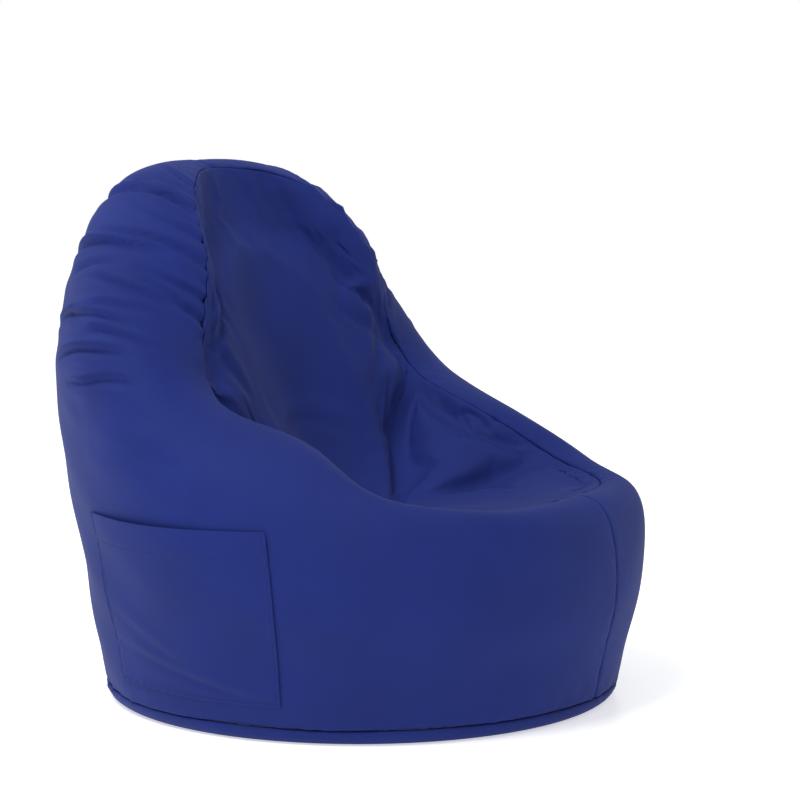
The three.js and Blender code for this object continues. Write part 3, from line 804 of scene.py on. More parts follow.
# ---- finishes ----


class Nodes:
    """Short way to add shader nodes to one material and to link them."""

    def __init__(self, name: str) -> None:
        """Starts a material with a Principled shader on its output.

        Args:
            name: the material's name.
        """
        self.material = bpy.data.materials.new(name)
        self.material.use_nodes = True
        self.tree = self.material.node_tree
        self.tree.nodes.clear()
        self.shader = self.add("ShaderNodeBsdfPrincipled")
        output = self.add("ShaderNodeOutputMaterial")
        self.link(self.shader, "BSDF", output, "Surface")

    def add(self, kind: str, **values: object) -> bpy.types.Node:
        """Adds a node; values name its own properties, or its sockets with _ for a space.

        Args:
            kind: the node's type.
            values: properties or sockets.

        Returns:
            The new node.
        """
        node = self.tree.nodes.new(kind)
        for key, value in values.items():
            if hasattr(node, key):
                setattr(node, key, value)
            else:
                node.inputs[key.replace("_", " ")].default_value = value
        return node

    def surface(self, **values: object) -> None:
        """Sets the shader's own sockets, named with _ for a space."""
        for key, value in values.items():
            self.shader.inputs[key.replace("_", " ")].default_value = value

    def link(self, source: bpy.types.Node, out: str, target: bpy.types.Node, into: str | int) -> None:
        """Links a named output to a named or numbered input."""
        self.tree.links.new(source.outputs[out], target.inputs[into])

    def coordinates(self, kind: str, stretch: Triple) -> bpy.types.Node:
        """Object or UV coordinates, stretched along each axis.

        Args:
            kind: Object or UV.
            stretch: scale along each axis.

        Returns:
            The mapping node.
        """
        source = self.add("ShaderNodeTexCoord")
        mapping = self.add("ShaderNodeMapping")
        mapping.inputs["Scale"].default_value = stretch
        self.link(source, kind, mapping, "Vector")
        return mapping

    def noise(self, kind: str, scale: float, stretch: Triple = (1, 1, 1),
              detail: float = 2.0) -> bpy.types.Node:
        """Noise texture on Object or UV coordinates.

        Args:
            kind: Object or UV.
            scale: scale of the texture.
            stretch: scale along each axis.
            detail: its detail.

        Returns:
            The texture's node.
        """
        node = self.add("ShaderNodeTexNoise", Scale=scale, Detail=detail)
        self.link(self.coordinates(kind, stretch), "Vector", node, "Vector")
        return node

    def bump(self, source: bpy.types.Node, out: str, height: float, strength: float,
             after: bpy.types.Node | None = None) -> bpy.types.Node:
        """Bump of a stated height in metres, laid over an earlier one.

        Args:
            source: the node that gives the value.
            out: the name of its output.
            height: height in metres.
            strength: strength of the bump.
            after: an earlier bump.

        Returns:
            The bump's node.
        """
        node = self.add("ShaderNodeBump", Distance=height, Strength=strength)
        self.link(source, out, node, "Height")
        if after is not None:
            self.link(after, "Normal", node, "Normal")
        return node

    def tint(self, source: bpy.types.Node, out: str, low: tuple[float, ...], high: tuple[float, ...],
             start: float = 0.3, end: float = 0.7) -> bpy.types.Node:
        """Colour ramp from low to high over a texture's value.

        Args:
            source: the node that gives the value.
            out: the name of its output.
            low: colour at the low end.
            high: colour at the high end.
            start: value where the low colour ends.
            end: value where the high colour starts.

        Returns:
            The ramp's node.
        """
        ramp = self.add("ShaderNodeValToRGB")
        ramp.color_ramp.elements[0].position = start
        ramp.color_ramp.elements[1].position = end
        ramp.color_ramp.elements[0].color = (*low, 1)
        ramp.color_ramp.elements[1].color = (*high, 1)
        self.link(source, out, ramp, "Fac")
        return ramp


def shade(colour: tuple[float, ...], factor: float) -> tuple[float, ...]:
    """The same colour, lighter or darker."""
    return tuple(c * factor for c in colour)


class Mapped(Enum):
    """What a cloth's threads follow."""

    CLOTH = "UV"
    SPACE = "Object"


class Weave(Enum):
    """How a cloth's threads run, as the stretch of the noise that makes them."""

    PLAIN = (1.0, 1.0)
    RIBBED = (0.25, 1.6)


@dataclass(frozen=True)
class ClothFinish:
    """Woven cloth: thread relief both ways, soft crumple, mottled colour and a slight sheen."""

    name: str
    colour: Triple
    roughness: float = 0.75
    sheen: float = 0.04
    threads: float = 900.0
    relief: float = 0.00012
    crumple: float = 0.0012
    mottle: float = 0.10
    mottle_scale: float = 9.0
    crease_scale: float = 26.0
    thread_share: float = 0.22
    sheen_tint: tuple[float, ...] = (0.45, 0.55, 1.0, 1.0)
    weave: Weave = Weave.PLAIN
    mapped: Mapped = Mapped.CLOTH

    def material(self) -> bpy.types.Material:
        """Builds the material.

        Returns:
            The material.
        """
        n = Nodes(self.name)
        across, along = self.weave.value
        warp = n.noise(self.mapped.value, self.threads * across, (1, 0.06, 0.06))
        weft = n.noise(self.mapped.value, self.threads * along, (0.06, 1, 1))
        crossing = n.add("ShaderNodeMath", operation="ADD")
        n.link(warp, "Fac", crossing, 0)
        n.link(weft, "Fac", crossing, 1)
        patches = n.noise("Object", self.mottle_scale, detail=4.0)
        mixed = n.add("ShaderNodeMath", operation="MULTIPLY_ADD")
        mixed.inputs[1].default_value = self.thread_share
        n.link(crossing, "Value", mixed, 0)
        n.link(patches, "Fac", mixed, 2)
        dark, light = shade(self.colour, 1 - self.mottle), shade(self.colour, 1 + self.mottle)
        ramp = n.tint(mixed, "Value", dark, light, 0.5, 0.95)
        n.link(ramp, "Color", n.shader, "Base Color")
        creases = n.noise("Object", self.crease_scale, detail=3.0)
        soft = n.bump(creases, "Fac", self.crumple, 0.35)
        fine = n.bump(crossing, "Value", self.relief, 0.6, after=soft)
        n.link(fine, "Normal", n.shader, "Normal")
        n.surface(Roughness=self.roughness, Specular_IOR_Level=0.2, Sheen_Weight=self.sheen,
                  Sheen_Roughness=0.45, Sheen_Tint=self.sheen_tint)
        return n.material


@dataclass(frozen=True)
class MetalFinish:
    """Nickel plate with fine scuffs and a duller film in patches."""

    name: str
    colour: Triple
    roughness: float = 0.28

    def material(self) -> bpy.types.Material:
        """Builds the material.

        Returns:
            The material.
        """
        n = Nodes(self.name)
        film = n.noise("Object", 220.0, detail=4.0)
        ramp = n.tint(film, "Fac", shade(self.colour, 0.85), self.colour)
        n.link(ramp, "Color", n.shader, "Base Color")
        scuffs = n.noise("Object", 2600.0, (1, 0.15, 1), detail=3.0)
        spread = n.add("ShaderNodeMapRange")
        spread.inputs["To Min"].default_value = self.roughness * 0.8
        spread.inputs["To Max"].default_value = self.roughness * 1.5
        n.link(scuffs, "Fac", spread, "Value")
        n.link(spread, "Result", n.shader, "Roughness")
        bump = n.bump(scuffs, "Fac", 0.00003, 0.4)
        n.link(bump, "Normal", n.shader, "Normal")
        n.surface(Metallic=1.0)
        return n.material


@dataclass(frozen=True)
class PlasticFinish:
    """Nylon with slight flow marks."""

    name: str
    colour: Triple
    roughness: float = 0.42

    def material(self) -> bpy.types.Material:
        """Builds the material.

        Returns:
            The material.
        """
        n = Nodes(self.name)
        flow = n.noise("Object", 400.0, detail=3.0)
        ramp = n.tint(flow, "Fac", shade(self.colour, 0.85), shade(self.colour, 1.15))
        n.link(ramp, "Color", n.shader, "Base Color")
        n.link(n.bump(flow, "Fac", 0.00004, 0.4), "Normal", n.shader, "Normal")
        n.surface(Roughness=self.roughness)
        return n.material


@dataclass(frozen=True)
class BeadFinish:
    """Loose foam beads: round bumps of one size, with painted shade that darkens each bead towards its edge
    and fills the gaps between them.
    """

    name: str
    colour: Triple
    bead: float = 0.004

    def material(self) -> bpy.types.Material:
        """Builds the material.

        Returns:
            The material.
        """
        n = Nodes(self.name)
        cells = n.add("ShaderNodeTexVoronoi", Scale=1 / self.bead)
        n.link(n.coordinates("Object", (1, 1, 1)), "Vector", cells, "Vector")
        # Painted shade: the colour falls to half towards each cell's edge, standing in for the shade between
        # the beads.
        ramp = n.tint(cells, "Distance", self.colour, shade(self.colour, 0.5), 0.35, 0.75)
        n.link(ramp, "Color", n.shader, "Base Color")
        round_top = n.add("ShaderNodeMath", operation="MULTIPLY")
        round_top.inputs[1].default_value = -1.0
        n.link(cells, "Distance", round_top, 0)
        n.link(n.bump(round_top, "Value", self.bead / 2, 0.8), "Normal", n.shader, "Normal")
        n.surface(Roughness=0.6)
        return n.material


@dataclass(frozen=True)
class FloorFinish:
    """Pale studio floor with a soft gloss."""

    name: str = "studio_floor"
    colour: Triple = (0.80, 0.81, 0.83)
    glow: float = 0.54

    def material(self) -> bpy.types.Material:
        """Builds the material.

        Returns:
            The material.
        """
        n = Nodes(self.name)
        haze = n.noise("Object", 1.5, detail=2.0)
        ramp = n.tint(haze, "Fac", shade(self.colour, 0.985), self.colour)
        n.link(ramp, "Color", n.shader, "Base Color")
        n.surface(Roughness=0.32, Specular_IOR_Level=0.4, Emission_Color=(1, 1, 1, 1),
                  Emission_Strength=self.glow)
        return n.material


class Finishes:
    """Every finish on the object, built once."""

    def __init__(self) -> None:
        """Builds the materials."""
        self.cover = ClothFinish("cover_cloth", (0.0062, 0.0175, 0.142)).material()
        self.thread = ClothFinish("sewing_thread", (0.018, 0.028, 0.15), threads=2500, mottle=0.15,
                                  crumple=0.0001, mapped=Mapped.SPACE).material()
        self.webbing = ClothFinish("handle_webbing", (0.018, 0.028, 0.15), threads=700, relief=0.0004,
                                   crumple=0.0003, weave=Weave.RIBBED, mapped=Mapped.SPACE).material()
        self.tape = ClothFinish("zip_tape_cloth", (0.013, 0.020, 0.10), threads=1400, relief=0.0002,
                                crumple=0.0002, weave=Weave.RIBBED, mapped=Mapped.SPACE).material()
        self.teeth = PlasticFinish("zip_coil_nylon", (0.012, 0.017, 0.08)).material()
        self.metal = MetalFinish("zip_nickel", (0.60, 0.61, 0.63)).material()
        self.liner = ClothFinish("liner_cloth", (0.74, 0.74, 0.71), roughness=0.85, sheen=0.05,
                                 threads=500, mottle=0.04).material()
        self.beads = BeadFinish("foam_beads", (0.86, 0.86, 0.85)).material()
        self.label = ClothFinish("label_satin", (0.80, 0.80, 0.77), roughness=0.45, sheen=0.1,
                                 threads=1600, mottle=0.03, crumple=0.0002, mapped=Mapped.SPACE).material()
        self.floor = FloorFinish().material()


# ---- studio ----


@dataclass
class Studio:
    """Floor, lights, white surroundings and the camera."""

    camera_azimuth: float = -60.0
    camera_elevation: float = 12.5
    camera_distance: float = 3.36
    camera_lens: float = 109.6
    aim: Triple = (0.100, -0.003, 0.385)
    floor_size: float = 24.0
    ambient: float = 0.60
    lit_height: float = 0.3
    lights: tuple[tuple[str, Triple, float, float], ...] = (
        ("key", (-2.2, 0.4, 3.9), 130, 1.6),
        ("fill", (2.8, -2.6, 1.8), 6, 2.5),
        ("rim_light", (-0.6, 3.2, 2.6), 24, 2.0),
    )

    def build(self, finishes: Finishes) -> None:
        """Adds everything that isn't part of the object.

        Args:
            finishes: the object's materials.
        """
        bpy.ops.mesh.primitive_plane_add(size=self.floor_size)
        floor = bpy.context.active_object
        floor.name = "floor"
        floor.data.materials.append(finishes.floor)
        floor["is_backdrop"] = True
        self.surroundings()
        bpy.context.scene.view_settings.view_transform = "Standard"
        for light in self.lights:
            self.light(*light)
        self.camera()

    def surroundings(self) -> None:
        """Adds white surroundings, which light the bag less than they look, so that folds show."""
        world = bpy.data.worlds.new("surroundings")
        world.use_nodes = True
        tree = world.node_tree
        background = tree.nodes["Background"]
        background.inputs["Color"].default_value = (1, 1, 1, 1)
        seen = tree.nodes.new("ShaderNodeLightPath")
        strength = tree.nodes.new("ShaderNodeMapRange")
        strength.inputs["To Min"].default_value = self.ambient
        tree.links.new(seen.outputs["Is Camera Ray"], strength.inputs["Value"])
        tree.links.new(strength.outputs["Result"], background.inputs["Strength"])
        bpy.context.scene.world = world

    def light(self, name: str, position: Triple, watts: float, size: float) -> None:
        """Adds one soft square light that faces the middle of the bag.

        Args:
            name: its name.
            position: where it stands.
            watts: its power.
            size: its side.
        """
        lamp = bpy.data.lights.new(name, "AREA")
        lamp.energy, lamp.size = watts, size
        piece = bpy.data.objects.new(name, lamp)
        piece.location = position
        aim = Vector((0, 0, self.lit_height)) - Vector(position)
        piece.rotation_euler = aim.to_track_quat("-Z", "Y").to_euler()
        bpy.context.scene.collection.objects.link(piece)

    def camera(self) -> None:
        """Adds the camera on its own angles round the object's origin."""
        azimuth, elevation = math.radians(self.camera_azimuth), math.radians(self.camera_elevation)
        back = Vector((math.sin(azimuth) * math.cos(elevation), -math.cos(azimuth) * math.cos(elevation),
                       math.sin(elevation)))
        camera = bpy.data.objects.new("camera", bpy.data.cameras.new("camera"))
        camera.data.lens = self.camera_lens
        camera.location = back * self.camera_distance
        camera.rotation_euler = (Vector(self.aim) - camera.location).to_track_quat("-Z", "Y").to_euler()
        bpy.context.scene.collection.objects.link(camera)
        bpy.context.scene.camera = camera


# ---- the settled cloth ----


@dataclass(frozen=True)
class Fold:
    """A crease in the cloth.

    Attributes:
        places: degrees round the bag from the front and share of the way across the panel.
        depth: how far the valley sinks.
        width: half width of the valley.
        runs_out: whether the last place lies in a seam, where the crease stays deep.
    """

    places: tuple[tuple[float, float], ...]
    depth: float
    width: float = 0.006
    runs_out: bool = False

    def mirrored(self, turn: float, lift: float, share: float) -> "Fold":
        """The same crease on the other side of the bag, shifted a little and of another depth."""
        places = tuple((360 - angle + turn, clamp(t + lift, 0.0, 1.0)) for angle, t in self.places)
        return Fold(places, self.depth * share, self.width, self.runs_out)


BACK_FOLDS = (
    Fold(((160, 0.80), (155, 0.83), (151, 0.89), (149, 1.0)), 0.0081, 0.0050, True),
    Fold(((154, 0.70), (146, 0.75), (139, 0.80), (133, 0.87), (131, 0.95)), 0.0088, 0.0048),
    Fold(((143, 0.80), (137, 0.87), (132, 1.0)), 0.0068, 0.0045, True),
    Fold(((147, 0.61), (138, 0.65), (130, 0.69), (121, 0.76), (112, 0.84)), 0.0084, 0.0046),
    Fold(((124, 0.70), (115, 0.78), (106, 0.87)), 0.0057, 0.0045),
    Fold(((139, 0.57), (130, 0.62), (120, 0.69), (111, 0.77)), 0.0074, 0.0046),
    Fold(((131, 0.56), (122, 0.61), (113, 0.69), (106, 0.75)), 0.0057, 0.0045),
    Fold(((157, 0.89), (150, 0.95), (147, 1.0)), 0.0057, 0.0042, True),
    Fold(((147, 0.88), (142, 0.94), (140, 1.0)), 0.0057, 0.0042, True),
    Fold(((132, 0.76), (123, 0.84), (116, 0.94)), 0.0051, 0.0042),
    Fold(((124, 0.89), (118, 0.95), (115, 1.0)), 0.0047, 0.0042, True),
    Fold(((165, 0.92), (160, 0.97), (158, 1.0)), 0.0054, 0.0042, True),
    Fold(((144, 0.70), (136, 0.76), (129, 0.84)), 0.0043, 0.0040),
    Fold(((136, 0.66), (127, 0.73), (119, 0.82), (114, 0.90)), 0.0046, 0.0042),
    Fold(((128, 0.87), (124, 0.93), (122, 1.0)), 0.0049, 0.0040, True),
    Fold(((137, 0.90), (135, 0.95), (134, 1.0)), 0.0041, 0.0038, True),
)
CENTRE_FOLDS = (
    Fold(((168, 0.72), (178, 0.70), (190, 0.73), (201, 0.71)), 0.006, 0.007),
    Fold(((172, 0.86), (181, 0.88), (193, 0.86)), 0.005, 0.006),
    Fold(((160, 0.62), (170, 0.63), (183, 0.60)), 0.004, 0.007),
    Fold(((178, 0.95), (177, 1.0)), 0.004, 0.005, True),
)
SEAT_FOLDS = (
    Fold(((96, 0.02), (100, 0.25), (112, 0.48)), 0.0045, 0.008),
    Fold(((122, 0.04), (124, 0.22), (132, 0.40)), 0.0045, 0.008),
    Fold(((146, 0.03), (148, 0.20), (152, 0.34)), 0.0035, 0.007),
    Fold(((60, 0.04), (66, 0.24), (84, 0.44)), 0.0035, 0.008),
    Fold(((150, 0.62), (170, 0.58), (190, 0.58), (210, 0.62)), 0.004, 0.010),
)


@dataclass(frozen=True)
class Settling:
    """How the slack cloth settles.

    Attributes:
        slack: height that the cloth of the back has to spare.
        back: share of a turn from the middle of the back where the slack ends, and over which it fades.
        steps: steps of the simulation.
        cap: longest move of a point.
        beads_share: share of the cloth's wide moves that the beads push back.
        rounds: how often the moves are averaged to find the wide ones.
        loose_row: share up the side panels below which the cloth is tight over the beads.
        ripple: height of the swells that the folds grow from.
        ripple_length: middle length of those swells.
        seam_reach: how near a seam a point counts as on it.
        disc: steps across and along the grid of the seat, which set those round the bag.
        skirt_rows, belly_rows, band_rows: rows of points up each part of the panels.
        band_share: share of the way into the seat that its outer band takes.
    """

    slack: float = 0.034
    back: tuple[float, float] = (0.27, 0.14)
    steps: int = 18
    cap: float = 0.016
    beads_share: float = 0.9
    rounds: int = 110
    loose_row: float = 0.45
    ripple: float = 0.0022
    ripple_length: float = 0.055
    seam_reach: float = 0.004
    disc: tuple[int, int] = (44, 76)
    skirt_rows: int = 15
    belly_rows: int = 46
    band_rows: int = 5
    band_share: float = 0.10


class BagSkin:
    """The outside of the bag once its cloth has settled over the beads.

    Three grids cover the side panels, the outer band of the seat panel and the rest of the seat
    panel. A cloth simulation moves their points, and the moves are kept, so that a place anywhere
    on the bag can be asked for.
    """

    def __init__(self, shape: BagShape) -> None:
        """Lays out the grids with the cloth still smooth.

        Args:
            shape: the smooth bag.
        """
        self.shape = shape
        self.settling = Settling()
        self.disc = Disc(*self.settling.disc)
        self.columns = np.arange(self.disc.steps) / self.disc.steps
        belt = shape.skirt_share
        self.side_rows = np.concatenate([np.linspace(0, belt, self.settling.skirt_rows)[:-1],
                                         np.linspace(belt, 1, self.settling.belly_rows)])
        self.band_share = self.settling.band_share
        self.band_rows = np.linspace(0, self.band_share, self.settling.band_rows)
        s = self.columns[:, None]
        self.side_moves = np.zeros((*np.broadcast_shapes(s.shape, self.side_rows[None].shape), 3))
        self.band_moves = np.zeros((len(s), len(self.band_rows), 3))
        self.core_moves = np.zeros((self.disc.across + 1, self.disc.along + 1, 3))

    def side(self, s: Array, t: Array) -> Array:
        """Places on the side panels.

        Args:
            s: shares of a turn.
            t: shares across the panel.

        Returns:
            Places.
        """
        s, t = np.broadcast_arrays(s, t)
        row = np.interp(t, self.side_rows, np.arange(len(self.side_rows)))
        moves = sample_grid(self.side_moves, s * len(self.columns), row, closed=True)
        return self.shape.side(s, t) + moves

    def band(self, s: Array, t: Array) -> Array:
        """Places on the outer band of the seat panel.

        Args:
            s: shares of a turn.
            t: shares across the panel.

        Returns:
            Places.
        """
        s, t = np.broadcast_arrays(s, t)
        row = np.interp(t, self.band_rows, np.arange(len(self.band_rows)))
        return self.shape.seat(s, t) + sample_grid(self.band_moves, s * len(self.columns), row, closed=True)

    def core(self, finer: int) -> Array:
        """Grid of places on the rest of the seat panel, with each step split into finer ones.

        Args:
            finer: how many fine steps each step is split into.

        Returns:
            Places.
        """
        s, radius = self.disc.polar(finer)
        a, b = np.meshgrid(*(np.arange(n) / finer for n in s.shape), indexing="ij")
        moves = sample_grid(self.core_moves, a, b, closed=False)
        return self.shape.seat(s, 1 - radius * (1 - self.band_share)) + moves

    def settle(self) -> None:
        """Lets the cloth settle by simulation and keeps how far each point moved."""
        s = self.columns[:, None]
        side = self.shape.side(s, self.side_rows[None])
        band = self.shape.seat(s, self.band_rows[None])
        core_s, radius = self.disc.polar()
        core_t = 1 - radius * (1 - self.band_share)
        core = self.shape.seat(core_s, core_t)
        side_index = number_grid(side)
        band_index = number_grid(band, side_index.size)
        core_index = number_grid(core, side_index.size + band_index.size)
        places = np.concatenate([grid.reshape(-1, 3) for grid in (side, band, core)])
        shares = np.concatenate([np.broadcast_to(s, side_index.shape).ravel(),
                                 np.broadcast_to(s, band_index.shape).ravel(), core_s.ravel()])
        rows = np.concatenate([np.broadcast_to(self.side_rows, side_index.shape).ravel(),
                               1 + np.broadcast_to(self.band_rows, band_index.shape).ravel(),
                               1 + core_t.ravel()])
        joined = np.arange(len(places))
        joined[band_index[:, 0]] = side_index[:, -1]
        order = self.disc.order
        joined[core_index[order[:, 0], order[:, 1]]] = band_index[:, -1]
        joined = joined[joined]
        faces = np.concatenate([index_faces(joined[side_index], True), index_faces(joined[band_index], True),
                                index_faces(joined[core_index], False)])
        used, numbers = np.unique(faces, return_inverse=True)
        moved = self._simulate(places[used], numbers.reshape(faces.shape), shares[used], rows[used])
        moves = np.zeros_like(places)
        moves[used] = moved
        moves = moves[joined]
        self.side_moves = moves[side_index]
        self.band_moves = moves[band_index]
        self.core_moves = moves[core_index]

    def _slack(self, places: Array, s: Array, rows: Array) -> Array:
        """Places of the cloth as it was cut: the back has more height than it fills.

        Args:
            places: the smooth bag's points.
            s: shares of a turn.
            rows: 0 to 1 up the side panels, then 1 to 2 across the seat panel.

        Returns:
            Places.
        """
        far, fade = self.settling.back
        back = ease((far - np.abs(s - 0.5)) / fade)
        side = ease((rows - self.shape.skirt_share - 0.06) / 0.5)
        seat = ease((1.55 - rows) / 0.5)
        return places + UP * (self.settling.slack * back * side * seat)[:, None]

    def _simulate(self, places: Array, faces: Array, s: Array,
                  rows: Array) -> Array:
        """Runs the cloth and returns how far each point moved, with a cap.

        Args:
            places: the smooth bag's points.
            faces: its quads.
            s: share of a turn of each point.
            rows: 0 to 1 up the side panels, then 1 to 2 across the seat panel.

        Returns:
            One move for each point.
        """
        start = places + self._first_ripples(places, s, rows)
        cloth = make_mesh("settling_cloth", start, faces)
        cloth.shape_key_add(name="start")
        cut = cloth.shape_key_add(name="cut")
        cut.data.foreach_set("co", self._slack(places, s, rows).astype(np.float32).ravel())
        cut.value = 0.0
        hold = self._hold(s, rows)
        group = cloth.vertex_groups.new(name="held")
        for level in np.unique(hold):
            group.add(np.nonzero(hold == level)[0].tolist(), float(level), "REPLACE")
        settings = self._cloth_settings(cloth)
        settings.rest_shape_key = cloth.data.shape_keys.key_blocks["cut"]
        scene = bpy.context.scene
        for step in range(1, self.settling.steps + 1):
            scene.frame_set(step)
        settled = cloth.evaluated_get(bpy.context.evaluated_depsgraph_get())
        result = np.empty(len(places) * 3, np.float32)
        settled.data.vertices.foreach_get("co", result)
        moves = result.reshape(-1, 3).astype(float) - places
        moves -= self.settling.beads_share * self._spread_out(moves, faces)
        bpy.data.objects.remove(cloth)
        scene.frame_set(1)
        length = np.linalg.norm(moves, axis=1, keepdims=True)
        log.info("cloth settled: middle move %.4f m, longest %.4f m", np.median(length), length.max())
        return moves * np.minimum(1, self.settling.cap / (length + 1e-9))

    def _spread_out(self, moves: Array, faces: Array) -> Array:
        """The wide part of the moves, without the wrinkles: each point takes its neighbours' mean.

        Args:
            moves: move of each point.
            faces: quads of the cloth.

        Returns:
            The wide part of each move.
        """
        pairs = np.concatenate([faces, np.roll(faces, -1, 1)], 0).reshape(2, -1)
        count = np.maximum(np.bincount(pairs.ravel(), minlength=len(moves)), 1)[:, None]
        wide = moves.copy()
        for _ in range(self.settling.rounds):
            total = np.stack([np.bincount(pairs[0], wide[pairs[1], k], len(moves))
                              + np.bincount(pairs[1], wide[pairs[0], k], len(moves)) for k in range(3)], 1)
            wide = (wide + total / count) / 2
        return wide

    def _cloth_settings(self, cloth: Piece) -> bpy.types.ClothSettings:
        """Adds the cloth modifier with the cover cloth's weight, stretch and bend.

        Args:
            cloth: the cloth's object.

        Returns:
            The modifier's settings.
        """
        settings = cloth.modifiers.new("settle", "CLOTH").settings
        settings.quality = 5
        settings.mass = 0.3
        settings.tension_stiffness = settings.compression_stiffness = 15
        settings.shear_stiffness = 5
        settings.bending_stiffness = 0.3
        settings.air_damping = 2
        settings.use_pressure = True
        settings.uniform_pressure_force = 4
        settings.vertex_group_mass = "held"
        settings.pin_stiffness = 0.5
        settings.effector_weights.gravity = 0
        return settings

    def _hold(self, s: Array, rows: Array) -> Array:
        """How firmly the beads and seams hold each point, from 0 to 1.

        Args:
            s: shares of a turn.
            rows: 0 to 1 up the side panels, then 1 to 2 across the seat panel.

        Returns:
            One share for each point.
        """
        tight, loosened, crowned, at_rim = 0.10, 0.085, 0.15, 0.6
        low, on_seam, off_middle = self.settling.loose_row, self.settling.seam_reach, np.abs(s - 0.5)
        loose = ease((rows - low) / 0.15) * ease((1.4 - rows) / 0.3) * ease((0.30 - off_middle) / 0.1)
        crown = ease((rows - 0.62) / 0.15) * ease((1.25 - rows) / 0.15)
        hold = tight - loosened * loose * (1 - 0.8 * crown) + crowned * crown
        zip_zone = (off_middle < 0.025) & (rows < low)
        hold[(rows < on_seam) | zip_zone] = 1.0
        hold[np.abs(rows - 1) < on_seam] = at_rim
        return np.round(hold, 3)

    def _first_ripples(self, places: Array, s: Array, rows: Array) -> Array:
        """Small uneven swells that the folds can grow from.

        Args:
            places: the smooth bag's points.
            s: shares of a turn.
            rows: 0 to 1 up the side panels, then 1 to 2 across the seat panel.

        Returns:
            Moves.
        """
        level = places * (0.45, 0.45, 1.0)
        above, off_middle = ease((rows - self.settling.loose_row) / 0.1), np.abs(s - 0.5)
        swell = ripple(level, self.settling.ripple_length, seed=4) * above * ease((1.3 - rows) / 0.2)
        away = ease((off_middle - 0.02) / 0.02) + above
        out = unit(places * (1, 1, 0))
        return out * (self.settling.ripple * swell * clamp(away) * ease((0.3 - off_middle) / 0.1))[:, None]


# ---- relief of folds and seams ----


@dataclass(frozen=True)
class FoldSection:
    """Section across a crease, in its half widths: a sharp valley between two ridges.

    Attributes:
        reach: how far from its line a crease is worked out.
        blunt: how round the bottom of the valley is.
        sink: how much deeper than its nominal depth the valley starts.
        ridges: height, place and width of the ridge on each side.
        taper: how fast a crease fades at its ends; less is faster.
        pieces: straight pieces between two places of a crease.
    """

    reach: float = 6.0
    blunt: float = 0.12
    sink: float = 0.35
    ridges: tuple[Triple, Triple] = ((0.75, 2.0, 1.3), (0.35, -2.4, 1.6))
    taper: float = 0.7
    pieces: int = 9

    def height(self, x: Array) -> Array:
        """Height at signed distances from the bottom of the valley.

        Args:
            x: signed distances, in half widths.

        Returns:
            Heights, as shares of the depth.
        """
        valley = -np.exp(-np.sqrt(x * x + self.blunt) + self.sink)
        upper, lower = (high * np.exp(-(((x - at) / wide) ** 2)) for high, at, wide in self.ridges)
        return valley + (upper + lower)


SECTION = FoldSection()


def fold_line(surface: Surface, fold: Fold) -> Pair:
    """Points along a crease on a surface, and their share of its length.

    Args:
        surface: the panel's shape.
        fold: the crease.

    Returns:
        Points and shares.
    """
    places = np.array(fold.places, float)
    share = np.linspace(0, 1, SECTION.pieces * (len(places) - 1) + 1)
    at = share * (len(places) - 1)
    line = sample_grid(places[:, None], at, np.zeros_like(at), closed=False)
    return surface(line[:, 0] / 360, line[:, 1]), share


def fold_relief(points: Array, along: Array, surface: Surface,
                folds: list[Fold]) -> Array:
    """Height of the folds over a grid of points: sharp valleys with a full ridge above each.

    Args:
        points: the grid's places.
        along: direction across the panel at each place, up the side or into the seat.
        surface: function of s and t that gives places on the smooth panel.
        folds: the creases.

    Returns:
        One height for each point, negative in a valley.
    """
    flat, height = points.reshape(-1, 3), np.zeros(points[..., 0].size)
    across = along.reshape(-1, 3)
    for fold in folds:
        line, share = fold_line(surface, fold)
        reach = fold.width * SECTION.reach
        near = np.nonzero(np.all((flat > line.min(0) - reach) & (flat < line.max(0) + reach), axis=1))[0]
        if not len(near):
            continue
        start, step = line[:-1], np.diff(line, axis=0)
        offset = flat[near, None] - start[None]
        w = clamp((offset * step).sum(-1) / (step * step).sum(-1))
        gap = offset - w[..., None] * step
        distance = np.linalg.norm(gap, axis=-1)
        pick = distance.argmin(1)
        rows = np.arange(len(near))
        gap, distance = gap[rows, pick], distance[rows, pick]
        place = share[pick] + w[rows, pick] / (len(share) - 1)
        taper = np.sin(np.pi * clamp(place * (0.5 if fold.runs_out else 1.0))) ** SECTION.taper
        if not fold.runs_out:
            past = np.abs((gap * unit(step[pick])).sum(-1))
            taper = taper * np.exp(-((past / fold.width) ** 2))
        x = np.sign((gap * across[near]).sum(-1)) * distance / fold.width
        height[near] += fold.depth * taper * SECTION.height(x)
    return height.reshape(points.shape[:-1])


@dataclass(frozen=True)
class SeamStyle:
    """How a seam turns the two panels' edges in, and how it gathers them."""

    turn_in: float = 0.0040
    pucker: float = 0.0011
    pucker_length: float = 0.021
    pucker_reach: float = 0.016

    def drop(self, distance: Array) -> Array:
        """Depth of the turned edge at a distance from the seam: a quarter circle."""
        inside = clamp(1 - distance / self.turn_in)
        return self.turn_in * (1 - np.sqrt(clamp(1 - inside**2)))

    def gather(self, points: Array, distance: Array, seed: int) -> Array:
        """Height of the small gathers beside the seam."""
        swell = ripple(points, self.pucker_length, seed)
        return self.pucker * swell * np.exp(-distance / self.pucker_reach)


